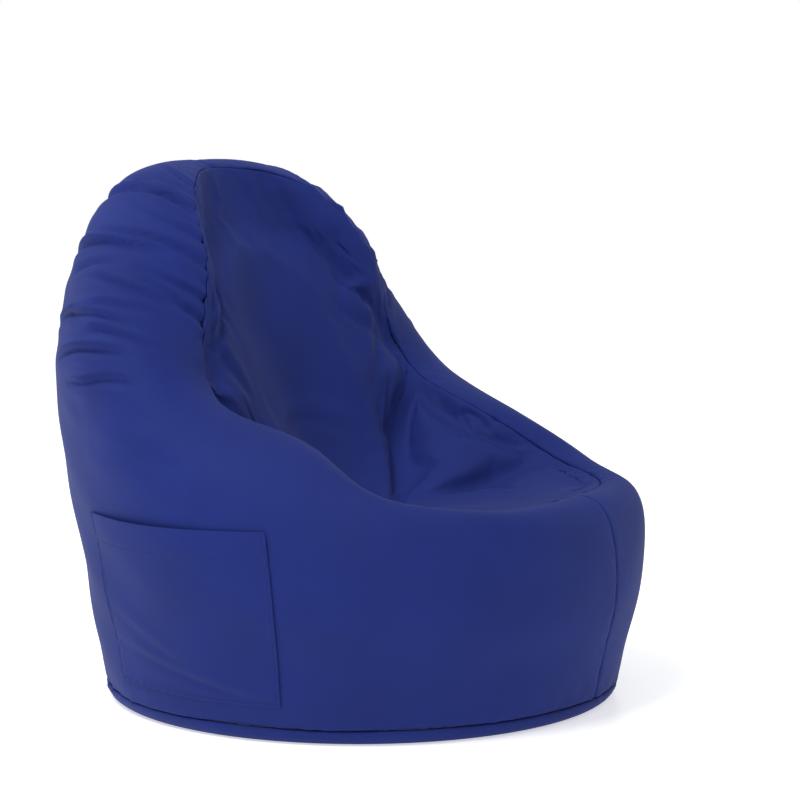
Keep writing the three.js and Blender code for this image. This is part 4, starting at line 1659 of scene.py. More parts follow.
@dataclass
class Cover:
    """The sewn cover: two side panels, the seat panel and the base panel."""

    skin: BagSkin
    finishes: Finishes
    thickness: float = 0.0012
    seam: SeamStyle = field(default_factory=SeamStyle)
    columns: int = 200
    low_rows: int = 40
    high_rows: int = 148
    slot_start: float = 0.0265
    slot_length: float = 0.247
    slot_half: float = 0.0070
    slot_reach: float = 0.035
    slot_round: float = 0.009
    undulation: float = 0.0016
    undulation_length: float = 0.13
    seat_swell: float = 0.0022
    seat_swell_length: float = 0.15
    rim_blend: float = 0.004
    fill: float = 0.8
    seam_radius: float = 0.375
    end_gather: float = 0.6
    still_half: float = 0.03
    still_top: float = 0.36
    still_fade: tuple[float, float] = (0.05, 0.08)
    back_mirror: Triple = (2.5, -0.02, 0.85)
    seat_mirror: Triple = (-3, 0.02, 0.9)
    seat_finer: int = 2
    base_disc: tuple[int, int] = (60, 60)
    right: Array = field(init=False)
    left: Array = field(init=False)
    right_normals: Array = field(init=False)
    left_normals: Array = field(init=False)

    def build(self) -> None:
        """Makes the four panels; the sides' grids are kept for what is sewn on them."""
        self.right = self.side_panel(0.0)
        self.left = self.side_panel(0.5)
        self.right_normals = grid_normals(self.right, closed=False)
        self.left_normals = grid_normals(self.left, closed=False)
        for name, grid in (("side_panel_right", self.right), ("side_panel_left", self.left)):
            self.dress(sheet_mesh(name + "_cloth", grid, self.cloth_map(grid)), name)
        self.dress(self.seat_panel(), "seat_panel")
        self.dress(self.base_panel(), "base_panel")

    def dress(self, piece: Piece, node: str) -> None:
        """Thickens a panel, gives it its finish and body, and hides the frame node that it stands for.

        Args:
            piece: the piece.
            node: the node that it stands for.
        """
        give_thickness(piece, self.thickness)
        place(piece, "bag", "cover_cloth", self.finishes.cover, node)

    def cloth_map(self, grid: Array) -> Array:
        """Distances along the cloth both ways, for its threads.

        Args:
            grid: the grid's points.

        Returns:
            Two distances for each point.
        """
        step_a = np.linalg.norm(np.diff(grid, axis=0, prepend=grid[:1]), axis=-1).mean(1, keepdims=True)
        step_b = np.linalg.norm(np.diff(grid, axis=1, prepend=grid[:, :1]), axis=-1)
        u = np.broadcast_to(np.cumsum(step_a, 0), step_b.shape)
        return np.stack([u, np.cumsum(step_b, 1)], -1).reshape(-1, 2)

    def panel_columns(self, first: float) -> Array:
        """Shares of a turn of one side panel's columns, closer together at its two seams.

        Args:
            first: where the panel starts, 0 or 0.5 of a turn.

        Returns:
            Shares of a turn.
        """
        shape = self.skin.shape
        around = TURN * (shape.base_radius + 0.03)  # a little above the base seam
        edge = EDGE_STEPS[:-2] / around
        even = np.linspace(edge[-1], 0.5 - edge[-1], self.columns)
        return first + np.concatenate([edge[:-1], even, 0.5 - edge[-2::-1]])

    def panel_rows(self, s: Array) -> Array:
        """Shares up the side panel of its rows in each column, closer together at both seams.

        Args:
            s: shares of a turn.

        Returns:
            One row of shares for each column.
        """
        shape = self.skin.shape
        seam, belt = shape.skirt(s)
        low = EDGE_STEPS * (shape.skirt_share / np.linalg.norm(belt - seam, axis=-1))[:, None]
        slope = np.linalg.norm(shape.side(s, 1.0) - shape.side(s, 1.0 - SLOPE_STEP), axis=-1) / SLOPE_STEP
        high = 1 - EDGE_STEPS[::-1] / slope[:, None]
        share = shape.skirt_share
        lower = low[:, -1:] + (share - low[:, -1:]) * np.linspace(0, 1, self.low_rows + 1)[None, 1:]
        upper = share + (high[:, :1] - share) * np.linspace(0, 1, self.high_rows + 1)[None, 1:-1]
        return np.concatenate([low, lower, upper, high], 1)

    def side_panel(self, first: float) -> Array:
        """Grid of one side panel, from its seam at s = first over half a turn.

        Args:
            first: where the panel starts, 0 or 0.5 of a turn.

        Returns:
            The panel's outer points.
        """
        s = self.panel_columns(first)
        t = self.panel_rows(s)
        s = np.broadcast_to(s[:, None], t.shape)
        grid = self.skin.side(s, t)
        back = np.abs(grid[..., 0]) * (grid[..., 1] > 0) + (grid[..., 1] <= 0)
        open_half = self.slot_opening(grid)
        step = self.slot_step(back, open_half) / (TURN * self.seam_radius)
        grid = self.skin.side(s + step * (-1 if first == 0 else 1), t)
        normals = grid_normals(grid, closed=False)
        along = unit(np.gradient(grid, axis=1))
        folds = list(BACK_FOLDS if first == 0 else [f.mirrored(*self.back_mirror) for f in BACK_FOLDS])
        height = fold_relief(grid, along, self.skin.side, [*folds, *CENTRE_FOLDS])
        quiet = self.stillness(grid)
        height = height * quiet
        height += self.undulation * ripple(grid, self.undulation_length, seed=21) * quiet
        lower = self.distance_along(grid)
        upper = lower[:, -1:] - lower
        ends = np.minimum(np.abs(back - open_half * (back < 1)), np.abs(grid[..., 0]) + (grid[..., 1] > 0))
        height += self.seam.gather(grid, upper, 31) + self.seam.gather(grid, lower, 32) * quiet
        height += self.seam.gather(grid, ends, 33) * quiet * self.end_gather
        turned = np.maximum.reduce([self.seam.drop(lower), self.seam.drop(upper), self.seam.drop(ends)])
        near_rim = np.exp(-upper / self.rim_blend)[..., None]
        shared = self.skin.shape.rim_direction(s[:, 0])[:, None]
        direction = unit(normals * (1 - near_rim) + shared * near_rim)
        return grid + normals * height[..., None] - direction * turned[..., None]

    def slot_opening(self, grid: Array) -> Array:
        """Half width of the zip's slot level with each point: 0 past its rounded ends.

        Args:
            grid: the grid's points.

        Returns:
            Half widths.
        """
        up_seam = np.linalg.norm(grid - self.skin.shape.side(0.5, 0.0), axis=-1)
        middle = self.slot_start + self.slot_length / 2
        room = clamp((self.slot_length / 2 - np.abs(up_seam - middle)) / self.slot_round)
        return self.slot_half * np.sqrt(1 - (1 - room) ** 2)

    def slot_step(self, back: Array, open_half: Array) -> Array:
        """How far each point steps back along the bag, so that the panel's edge leaves the slot open."""
        shifted = open_half + back * (self.slot_reach - open_half) / self.slot_reach
        return np.where(back < self.slot_reach, shifted - back, 0)

    def distance_along(self, grid: Array) -> Array:
        """Distance up the panel from its lower edge."""
        return np.cumsum(np.linalg.norm(np.diff(grid, axis=1, prepend=grid[:, :1]), axis=-1), 1)

    def stillness(self, grid: Array) -> Array:
        """0 where the zip holds the cloth flat and 1 away from it.

        Args:
            grid: the grid's points.

        Returns:
            Shares.
        """
        beside = ease((np.abs(grid[..., 0]) - self.still_half) / self.still_fade[0])
        above = ease((grid[..., 2] - self.still_top) / self.still_fade[1])
        return clamp(beside + above + (grid[..., 1] < 0))

    def seat_relief(self, grid: Array) -> Array:
        """Height of the seat panel's folds and swells.

        Args:
            grid: the grid's points.

        Returns:
            Heights.
        """
        along = unit(np.gradient(grid, axis=1))
        left = [f.mirrored(*self.seat_mirror) for f in SEAT_FOLDS[:-1]]
        height = fold_relief(grid, along, self.skin.shape.seat, [*SEAT_FOLDS, *left])
        return height + self.seat_swell * ripple(grid, self.seat_swell_length, seed=22)

    def seat_panel(self) -> Piece:
        """Seat panel: rings beside the rim seam and a grid without a pole inside them.

        Returns:
            The panel, as a sheet.
        """
        shape, finer = self.skin.shape, self.seat_finer
        s = np.arange(self.skin.disc.steps * finer) / (self.skin.disc.steps * finer)
        slope = np.linalg.norm(shape.seat(s, SLOPE_STEP) - shape.seat(s, 0.0), axis=-1) / SLOPE_STEP
        low = EDGE_STEPS / slope[:, None]
        rest = np.linspace(0, 1, 9)[None, 1:]
        t = np.concatenate([low, low[:, -1:] + (self.skin.band_share - low[:, -1:]) * rest], 1)
        s = np.broadcast_to(s[:, None], t.shape)
        band, core = self.skin.band(s, t), self.skin.core(finer)
        order = Disc(self.skin.disc.across * finer, self.skin.disc.along * finer).order
        edge = (order[:, 0], order[:, 1])
        core[edge] = band[:, -1]
        normals, core_normals = grid_normals(band, closed=True), grid_normals(core, closed=False)
        core_normals[edge] = normals[:, -1]
        distance = self.distance_along(band)
        height = self.seat_relief(band) + self.seam.gather(band, distance, 31)
        inside = np.full(core.shape[:2], 0.05)
        core_height = self.seat_relief(core) + self.seam.gather(core, inside, 31)
        core_height[edge] = height[:, -1]
        near_rim = np.exp(-distance / self.rim_blend)[..., None]
        direction = unit(normals * (1 - near_rim) + shape.rim_direction(s[:, 0])[:, None] * near_rim)
        band = band + normals * height[..., None] - direction * self.seam.drop(distance)[..., None]
        core = core + core_normals * core_height[..., None]
        flat = np.array([[1.0, 0.0], [0.0, 1.0], [0.0, 1.0]])
        return round_panel("seat_panel_cloth", band, core, order, -1, flat)

    def on_side(self, s: Array, z: Array) -> Pair:
        """Places on the finished side panels, all on one side of the middle.

        Args:
            s: shares of a turn.
            z: heights, of the same shape.

        Returns:
            Places and normals.
        """
        right = float(np.mean(s)) <= 0.5
        grid, normals = (self.right, self.right_normals) if right else (self.left, self.left_normals)
        columns = self.panel_columns(0.0 if right else 0.5)
        a = np.interp(np.ravel(s), columns, np.arange(len(columns)))
        near = np.minimum(a.astype(int), len(columns) - 2)
        w = (a - near)[:, None]
        heights = grid[near, :, 2] * (1 - w) + grid[near + 1, :, 2] * w
        rows = np.empty(len(a))
        for k, (height, target) in enumerate(zip(heights, np.ravel(z))):
            top = int(height.argmax())
            rows[k] = np.interp(target, np.maximum.accumulate(height[:top]), np.arange(top))
        a, rows = a.reshape(s.shape), rows.reshape(s.shape)
        return sample_grid(grid, a, rows, closed=False), unit(sample_grid(normals, a, rows, closed=False))

    def on_back(self, x: Array, z: Array) -> Pair:
        """Places and normals on the back at distances to the left of the middle and heights.

        Args:
            x: distances to the left of the middle.
            z: heights.

        Returns:
            Places and normals.
        """
        sign = 1 if float(np.mean(x)) > 0 else -1
        reach = 0.5 + sign * np.linspace(0.0, 0.11, 45)
        flat_x, flat_z = np.ravel(x), np.ravel(z)
        places, _ = self.on_side(*np.broadcast_arrays(reach[None], flat_z[:, None]))
        s = np.array([np.interp(sign * want, np.maximum.accumulate(sign * row), reach)
                      for want, row in zip(flat_x, places[..., 0])])
        return self.on_side(s.reshape(x.shape), z)

    def base_panel(self) -> Piece:
        """Base panel: flat on the floor, rolled up to its seam, with no pole in the middle.

        Returns:
            The panel, as a sheet.
        """
        disc = Disc(*self.base_disc)
        shape = self.skin.shape
        s = np.arange(disc.steps) / disc.steps
        start, flat_edge = 1 - shape.roll_share, 0.2
        arc = TURN / 4 * shape.base_seam_height
        edge = 1 - EDGE_STEPS[::-1] * shape.roll_share / arc
        rolled = np.linspace(start, edge[0], 12)[:-1]
        t = np.concatenate([np.linspace(start - flat_edge, start, 6)[:-1], rolled, edge])
        ring = shape.base(s[:, None], t[None])
        normals = grid_normals(ring, closed=True)
        distance = (1 - t[None]) * arc / shape.roll_share + np.zeros_like(ring[..., 0])
        swell = self.seam.gather(ring, distance, 32) * ease((t - start) / (1 - start))
        ring = ring + normals * (swell - self.seam.drop(distance))[..., None]
        ring[..., 2] = np.maximum(ring[..., 2], 0.0)
        core_s, radius = disc.polar()
        core = shape.base(core_s, radius * (start - flat_edge))
        return round_panel("base_panel_cloth", ring, core, disc.order, 0, np.eye(3)[:, :2])


# ---- liner and filling ----


@dataclass
class InnerBag:
    """The liner of the same cut as the cover, and the beads that fill it."""

    skin: BagSkin
    finishes: Finishes
    liner_depth: float = 0.0125
    liner_thickness: float = 0.0008
    liner_base: float = LINER_BASE
    beads_depth: float = 0.0140
    beads_base: float = 0.0138
    rows: int = 56
    seam_gap: float = 0.0003
    slot: Triple = (0.247, 0.0156, 0.02)
    least_lean: float = 0.6
    band_rows: int = 8
    roll_rows: int = 10
    cloth_fill: float = 0.8
    beads_fill: float = 0.9

    def build(self) -> None:
        """Makes the liner's four panels and the filling."""
        side, band, core, ring, middle = self.grids(self.liner_depth, self.liner_base)
        half, order = self.skin.disc.steps // 2, self.skin.disc.order
        around = np.concatenate([side, side[:1]])
        for name, grid, sign in (("right", around[: half + 1], -1), ("left", around[half:], 1)):
            grid = grid.copy()
            grid[[0, -1], :, 0] = sign * self.seam_gap
            self.dress(sheet_mesh(f"liner_{name}_cloth", grid), f"liner_panel_{name}")
        self.dress(round_panel("liner_seat_cloth", band, core, order, -1), "liner_seat_panel")
        base = round_panel("liner_base_cloth", ring, middle, order, 0)
        give_thickness(base, self.liner_thickness)
        combine(base, block(self.slot, (0, 0, self.liner_base)), Fit.CUT)
        self.dress(base, "liner_base_panel", thick=True)
        self.filling()

    def dress(self, piece: Piece, node: str, thick: bool = False) -> None:
        """Thickens a liner panel where it isn't yet, gives it its finish and body, and hides the frame node
        that it stands for.

        Args:
            piece: the piece.
            node: the node that it stands for.
            thick: whether it has its thickness already.
        """
        if not thick:
            give_thickness(piece, self.liner_thickness)
        place(piece, "bag", "liner_cloth", self.finishes.liner, node)

    def grids(self, depth: float, base: float) -> tuple[Array, ...]:
        """Grids of points at a depth under the settled bag: side, seat band, seat, base edge, base.

        Args:
            depth: depth under the bag.
            base: height of the base.

        Returns:
            The five grids.
        """
        skin, shape = self.skin, self.skin.shape
        s = (np.arange(skin.disc.steps) / skin.disc.steps)[:, None]
        t = np.linspace(0, 1, self.rows)[None]
        side = skin.side(s, t)
        band = skin.band(s, np.linspace(0, skin.band_share, self.band_rows)[None])
        core = skin.core(1)
        edge = (skin.disc.order[:, 0], skin.disc.order[:, 1])
        core[edge] = band[:, -1]
        rim = shape.rim_direction(s[:, 0])[:, None]
        level = shape.outward(s)
        side = self.sink(side, grid_normals(side, True), depth, [(level, t * 4), (rim, (1 - t) * 6)])
        band = self.sink(band, grid_normals(band, True), depth, [(rim, np.arange(self.band_rows)[None] / 4)])
        core = core - grid_normals(core, False) * depth
        core[edge] = band[:, -1]
        band[:, 0] = side[:, -1]
        angle = np.linspace(0, TURN / 4, self.roll_rows)
        seam_height = side[:, :1, 2:].mean()
        roll = shape.base_seam_height
        radius = shape.base_radius - roll + (roll - depth) * np.sin(angle)
        height = base + (seam_height - base) * (1 - np.cos(angle))
        ring = shape.outward(s) * radius[None, :, None] + UP * height[None, :, None]
        ring[:, -1] = side[:, 0]
        turn, share = skin.disc.polar()
        middle = shape.outward(turn) * (share * radius[0])[..., None] + UP * base
        return side, band, core, ring, middle

    def sink(self, grid: Array, normals: Array, depth: float,
             ends: list[Pair]) -> Array:
        """Moves a grid inwards; beside an end it follows the direction shared along that seam.

        Args:
            grid: the grid's points.
            normals: directions out of the cloth there.
            depth: how far it moves.
            ends: for each seam, its shared direction and the distance from it.

        Returns:
            The moved grid.
        """
        direction = normals
        for shared, distance in ends:
            near = np.exp(-((distance * 3) ** 2))[..., None]
            direction = unit(direction * (1 - near) + shared * near)
        lean = np.maximum((direction * normals).sum(-1, keepdims=True), self.least_lean)
        return grid - direction * depth / lean

    def filling(self) -> None:
        """The loose beads as one closed mass."""
        side, band, core, ring, middle = self.grids(self.beads_depth, self.beads_base)
        column = np.concatenate([ring, side[:, 1:], band[:, 1:]], 1)
        order = self.skin.disc.order
        index = number_grid(column)
        seat_index = number_grid(core, index.size)
        base_index = number_grid(middle, seat_index.size + index.size)
        seat_index[order[:, 0], order[:, 1]] = index[:, -1]
        base_index[order[:, 0], order[:, 1]] = index[:, 0]
        faces = np.concatenate([index_faces(index, True), index_faces(seat_index, False),
                                index_faces(base_index, False, True)])
        piece = welded_mesh("bead_mass", [column, core, middle], faces)
        place(piece, "bag", "beads", self.finishes.beads, "bead_filling")


# ---- side pocket ----


@dataclass(frozen=True)
class PocketFold:
    """A soft fold in the pocket's slack cloth, from one share of its width and height to another."""

    start: tuple[float, float]
    end: tuple[float, float]
    depth: float
    width: float


@dataclass
class Pocket:
    """Patch pocket with a folded hem, sewn to the right side panel on three sides.

    Attributes:
        front, back: degrees round the bag of its two sides.
        bottom, mouth: heights of its lower and upper edge.
        clearance, gape: how far it stands off the cover at its seams and at its mouth.
        hem, margin: depth of the folded hem, and of the sewn edge on the other sides.
        turned, sunk, hem_step: heights of the turned edge, the stitch lines and the hem.
        wander, swell: heights of the small gathers and of the wide swells.
    """

    cover: Cover
    finishes: Finishes
    front: float = 75.6
    back: float = 122.0
    bottom: float = 0.050
    mouth: float = 0.270
    radius: float = 0.40
    lean: float = 0.004
    thickness: float = 0.0014
    clearance: float = 0.0006
    gape: float = 0.0055
    hem: float = 0.038
    margin: float = 0.0045
    turned: float = 0.0004
    sunk: float = 0.0008
    hem_step: float = 0.0008
    stitch_inset: float = 0.003
    stitch_width: float = 0.0014
    wander: float = 0.0003
    swell: float = 0.0010
    tack_half: float = 0.006
    folds: tuple[PocketFold, ...] = (
        PocketFold((0.86, 0.22), (0.10, 0.03), 0.0017, 0.008),
        PocketFold((0.93, 0.42), (0.40, 0.14), 0.0012, 0.012),
        PocketFold((0.30, 0.80), (0.62, 0.66), 0.0012, 0.014),
    )
    columns: int = 150
    rows: int = 120

    @property
    def width(self) -> float:
        """Width of the pocket along the cloth."""
        return self.radius * (self.back - self.front) * TURN / 360

    @property
    def height(self) -> float:
        """Height of the pocket."""
        return self.mouth - self.bottom

    def surface(self, across: Array, up: Array, over: float = 0.0) -> Pair:
        """Outside of the pocket at shares of its width and height, raised by a little more.

        Args:
            across: shares of the width.
            up: shares of the height.
            over: how far it is raised.

        Returns:
            Places and normals.
        """
        across, up = np.broadcast_arrays(across, up)
        s = (self.front + (self.back - self.front) * across) / 360
        # The two sides lean in towards the bottom edge.
        s = s + (0.5 - across) * self.lean * (1 - up)
        place_on, normal = self.cover.on_side(s, self.bottom + (self.mouth - self.bottom) * up)
        bulge = np.sin(np.pi * clamp(across)) ** 0.8 * clamp(up) ** 1.5
        stand = self.clearance + (self.gape - self.clearance) * bulge
        height = stand + self.relief(across, up) + self.thickness + over
        return place_on + normal * height[..., None], normal

    def relief(self, across: Array, up: Array) -> Array:
        """Turned edges, the folded hem, the sunk stitch lines and the soft folds of the slack cloth.

        Args:
            across: shares of the width.
            up: shares of the height.

        Returns:
            Heights.
        """
        from_sides = np.minimum(across, 1 - across) * self.width
        edge = np.minimum(from_sides, up * self.height)
        turned = self.turned * ease((self.margin * 1.9 - edge) / 0.002)
        sunk = -self.sunk * np.exp(-(((edge - self.margin) / self.stitch_width) ** 2))
        under = (1 - up) * self.height
        hem = self.hem_step * ease((self.hem - under) / 0.002)
        off_line = under - self.hem + self.stitch_inset
        hem_line = -self.sunk * np.exp(-((off_line / self.stitch_width) ** 2))
        gathers = self.wander * np.sin((across * 47 + up * 31) * 2.2) * np.exp(-edge / 0.010)
        fold = 0.0
        for crease in self.folds:
            fold = fold + self.crease(crease, across * self.width, up * self.height)
        calm = ease((edge - 0.004) / 0.008)
        swell = self.swell * np.sin(across * 7.1 + up * 3.3) * np.sin(up * 6.3 + 1.0) * calm
        return turned + sunk + hem + hem_line + gathers + fold * calm + swell

    def crease(self, fold: PocketFold, x: Array, y: Array) -> Array:
        """Height of one soft fold: a valley with a ridge on one side, fading at both ends.

        Args:
            fold: the crease.
            x: distances across the pocket.
            y: distances up it.

        Returns:
            Heights.
        """
        a = np.array([fold.start[0] * self.width, fold.start[1] * self.height])
        b = np.array([fold.end[0] * self.width, fold.end[1] * self.height])
        run = b - a
        w = clamp(((x - a[0]) * run[0] + (y - a[1]) * run[1]) / (run**2).sum())
        side = ((x - a[0]) * run[1] - (y - a[1]) * run[0]) / np.linalg.norm(run) / fold.width
        past = np.hypot(x - a[0] - run[0] * w, y - a[1] - run[1] * w) / fold.width
        ridge = np.exp(-((side - 1.2) ** 2)) - np.exp(-(side**2) * 1.4)
        fade = np.sin(np.pi * clamp(w, 0.02, 0.98)) ** 0.5 * np.exp(-clamp(past - 3, 0, 9))
        return fold.depth * ridge * fade

    def build(self) -> None:
        """Makes the pocket, its stitching and its two bar tacks."""
        grid, _ = self.surface(self.spread(self.columns)[:, None], self.spread(self.rows)[None])
        piece = sheet_mesh("side_pocket_cloth", grid, self.cover.cloth_map(grid))
        give_thickness(piece, self.thickness)
        place(piece, "bag", "cover_cloth", self.finishes.cover, "side_pocket")
        inset, low = self.margin / self.width, self.margin / self.height
        high, hem = 1 - 0.004 / self.height, 1 - (self.hem - self.stitch_inset) / self.height
        ups, acrosses = np.linspace(low, high, 60), np.linspace(inset, 1 - inset, 80)
        rows = []
        for side, level in ((inset, low), (1 - inset, hem)):
            rows.append(self.surface(np.full_like(ups, side), ups, THREAD_LIFT))
            rows.append(self.surface(acrosses, np.full_like(acrosses, level), THREAD_LIFT))
        place(stitches("pocket_stitching", rows), "bag", "thread", self.finishes.thread)
        for end, at in (("front", inset), ("back", 1 - inset)):
            self.tack(end, at, hem)

    def tack(self, end: str, at: float, hem: float) -> None:
        """Makes the bar tack at one end of the hem: a dense row of threads across the seam.

        Args:
            end: front or back.
            at: share of the pocket's width.
            hem: share of its height where the hem is sewn.
        """
        reach = self.tack_half / self.height
        span = np.linspace(hem - reach, hem + reach, 12)
        line, normals = self.surface(np.full_like(span, at), span, 0.0005)
        frames = frames_on_line(line, normals, 0.0006)
        frames = frames @ np.array([[0, -1, 0, 0], [1, 0, 0, 0], [0, 0, 1, 0], [0, 0, 0, 1.0]])
        tack = copies(f"pocket_bar_tack_{end}", stitch_template(0.0034, 0.0008), frames)
        place(tack, "bag", "thread", self.finishes.thread, f"pocket_tack_{end}")

    def spread(self, count: int) -> Array:
        """Shares from 0 to 1, closer together at both ends."""
        even = np.linspace(0, 1, count)
        return even * 0.45 + ease(even) * 0.55


# ---- zips ----


@dataclass(frozen=True)
class BackSeam:
    """The straight lower part of the cover's back seam, which holds the cover's zip."""

    shape: BagShape

    @property
    def line(self) -> Pair:
        """Start of the seam and its direction."""
        low, high = self.shape.skirt(np.array(0.5))
        return low, unit(high - low)

    @property
    def lean(self) -> float:
        """Angle between the seam and plumb."""
        _, along = self.line
        return math.atan2(along[1], along[2])

    def matrix_on_line(self, distance: float) -> Matrix:
        """Frame on the seam with Y up it and Z out of the back."""
        start, along = self.line
        return self.frame(start + along * distance, along)

    def matrix_at(self, t: float) -> Matrix:
        """Frame on the middle of the back at a share up the side panels.

        Args:
            t: share up the side panels.

        Returns:
            The frame.
        """
        step = 1e-4
        s = np.array(0.5)
        along = self.shape.side(s, np.array(t + step)) - self.shape.side(s, np.array(t - step))
        return self.frame(self.shape.side(s, np.array(t)), unit(along * (0, 1, 1)))

    def frame(self, origin: Array, along: Array) -> Matrix:
        """Frame with Y along a direction up the back, Z out of it and X to the sitter's right."""
        out = np.array([0, along[2], -along[1]])
        return frame_matrix(np.cross(along, out), along, out, origin)


def frame_matrix(x: Array, y: Array, z: Array, origin: Array) -> Matrix:
    """Matrix of a frame from its axes and origin.

    Args:
        x: its X axis.
        y: its Y axis.
        z: its Z axis.
        origin: its origin.

    Returns:
        The matrix.
    """
    rows = np.eye(4)
    rows[:3, 0], rows[:3, 1], rows[:3, 2], rows[:3, 3] = x, y, z, origin
    return Matrix(rows.tolist())


def liner_zip_matrix() -> Matrix:
    """Frame of the liner's zip: along +X under the liner's base, facing the floor."""
    along, across, down = np.array([1, 0, 0]), np.array([0, 1, 0]), np.array([0, 0, -1])
    return frame_matrix(across, along, down, np.array([-LINER_ZIP_START, 0, LINER_BASE]))


@dataclass(frozen=True)
class ZipSizes:
    """Sizes of one zip. Heights are over the outside of the cloth that it closes."""

    cloth: float
    length: float = 0.240
    tape_length: float = 0.247
    tape_inner: float = 0.0011
    tape_width: float = 0.015
    tape_thickness: float = 0.0008
    tape_depth: float = 0.0011
    coil_inner: float = 0.0006
    coil_outer: float = 0.0033
    coil_height: float = 0.0016
    coil_pitch: float = 0.0016
    wire: float = 0.00030
    air: float = 0.00035
    stop_length: float = 0.004
    slider_length: float = 0.013
    slider_width: float = 0.011
    nose: float = 0.007
    plate: float = 0.0013
    post: float = 0.0008
    flange: float = 0.0012
    bail_radius: float = 0.0007
    bail_height: float = 0.0026
    eye_width: float = 0.003
    eye_wall: float = 0.0009
    pull_length: float = 0.030
    pull_width: float = 0.007
    pull_thickness: float = 0.0012
    tape_edge: float = 0.0002
    stop_edge: float = 0.0004
    plate_edge: float = 0.0003
    lug_edge: float = 0.00045
    bar_edge: float = 0.0001
    pull_edge: float = 0.00025
    slack: float = 0.001

    @property
    def tape_top(self) -> float:
        """Height of the tapes' outer face."""
        return -(self.cloth + self.tape_depth)

    @property
    def coil_top(self) -> float:
        """Height of the top of the coils."""
        return self.tape_top + self.air + self.coil_height

    @property
    def plate_top(self) -> float:
        """Height of the slider's upper face."""
        return self.coil_top + self.air + self.plate

    @property
    def slider_start(self) -> float:
        """Place of the slider along the closed zip."""
        return self.stop_length + self.slack + self.slider_length / 2


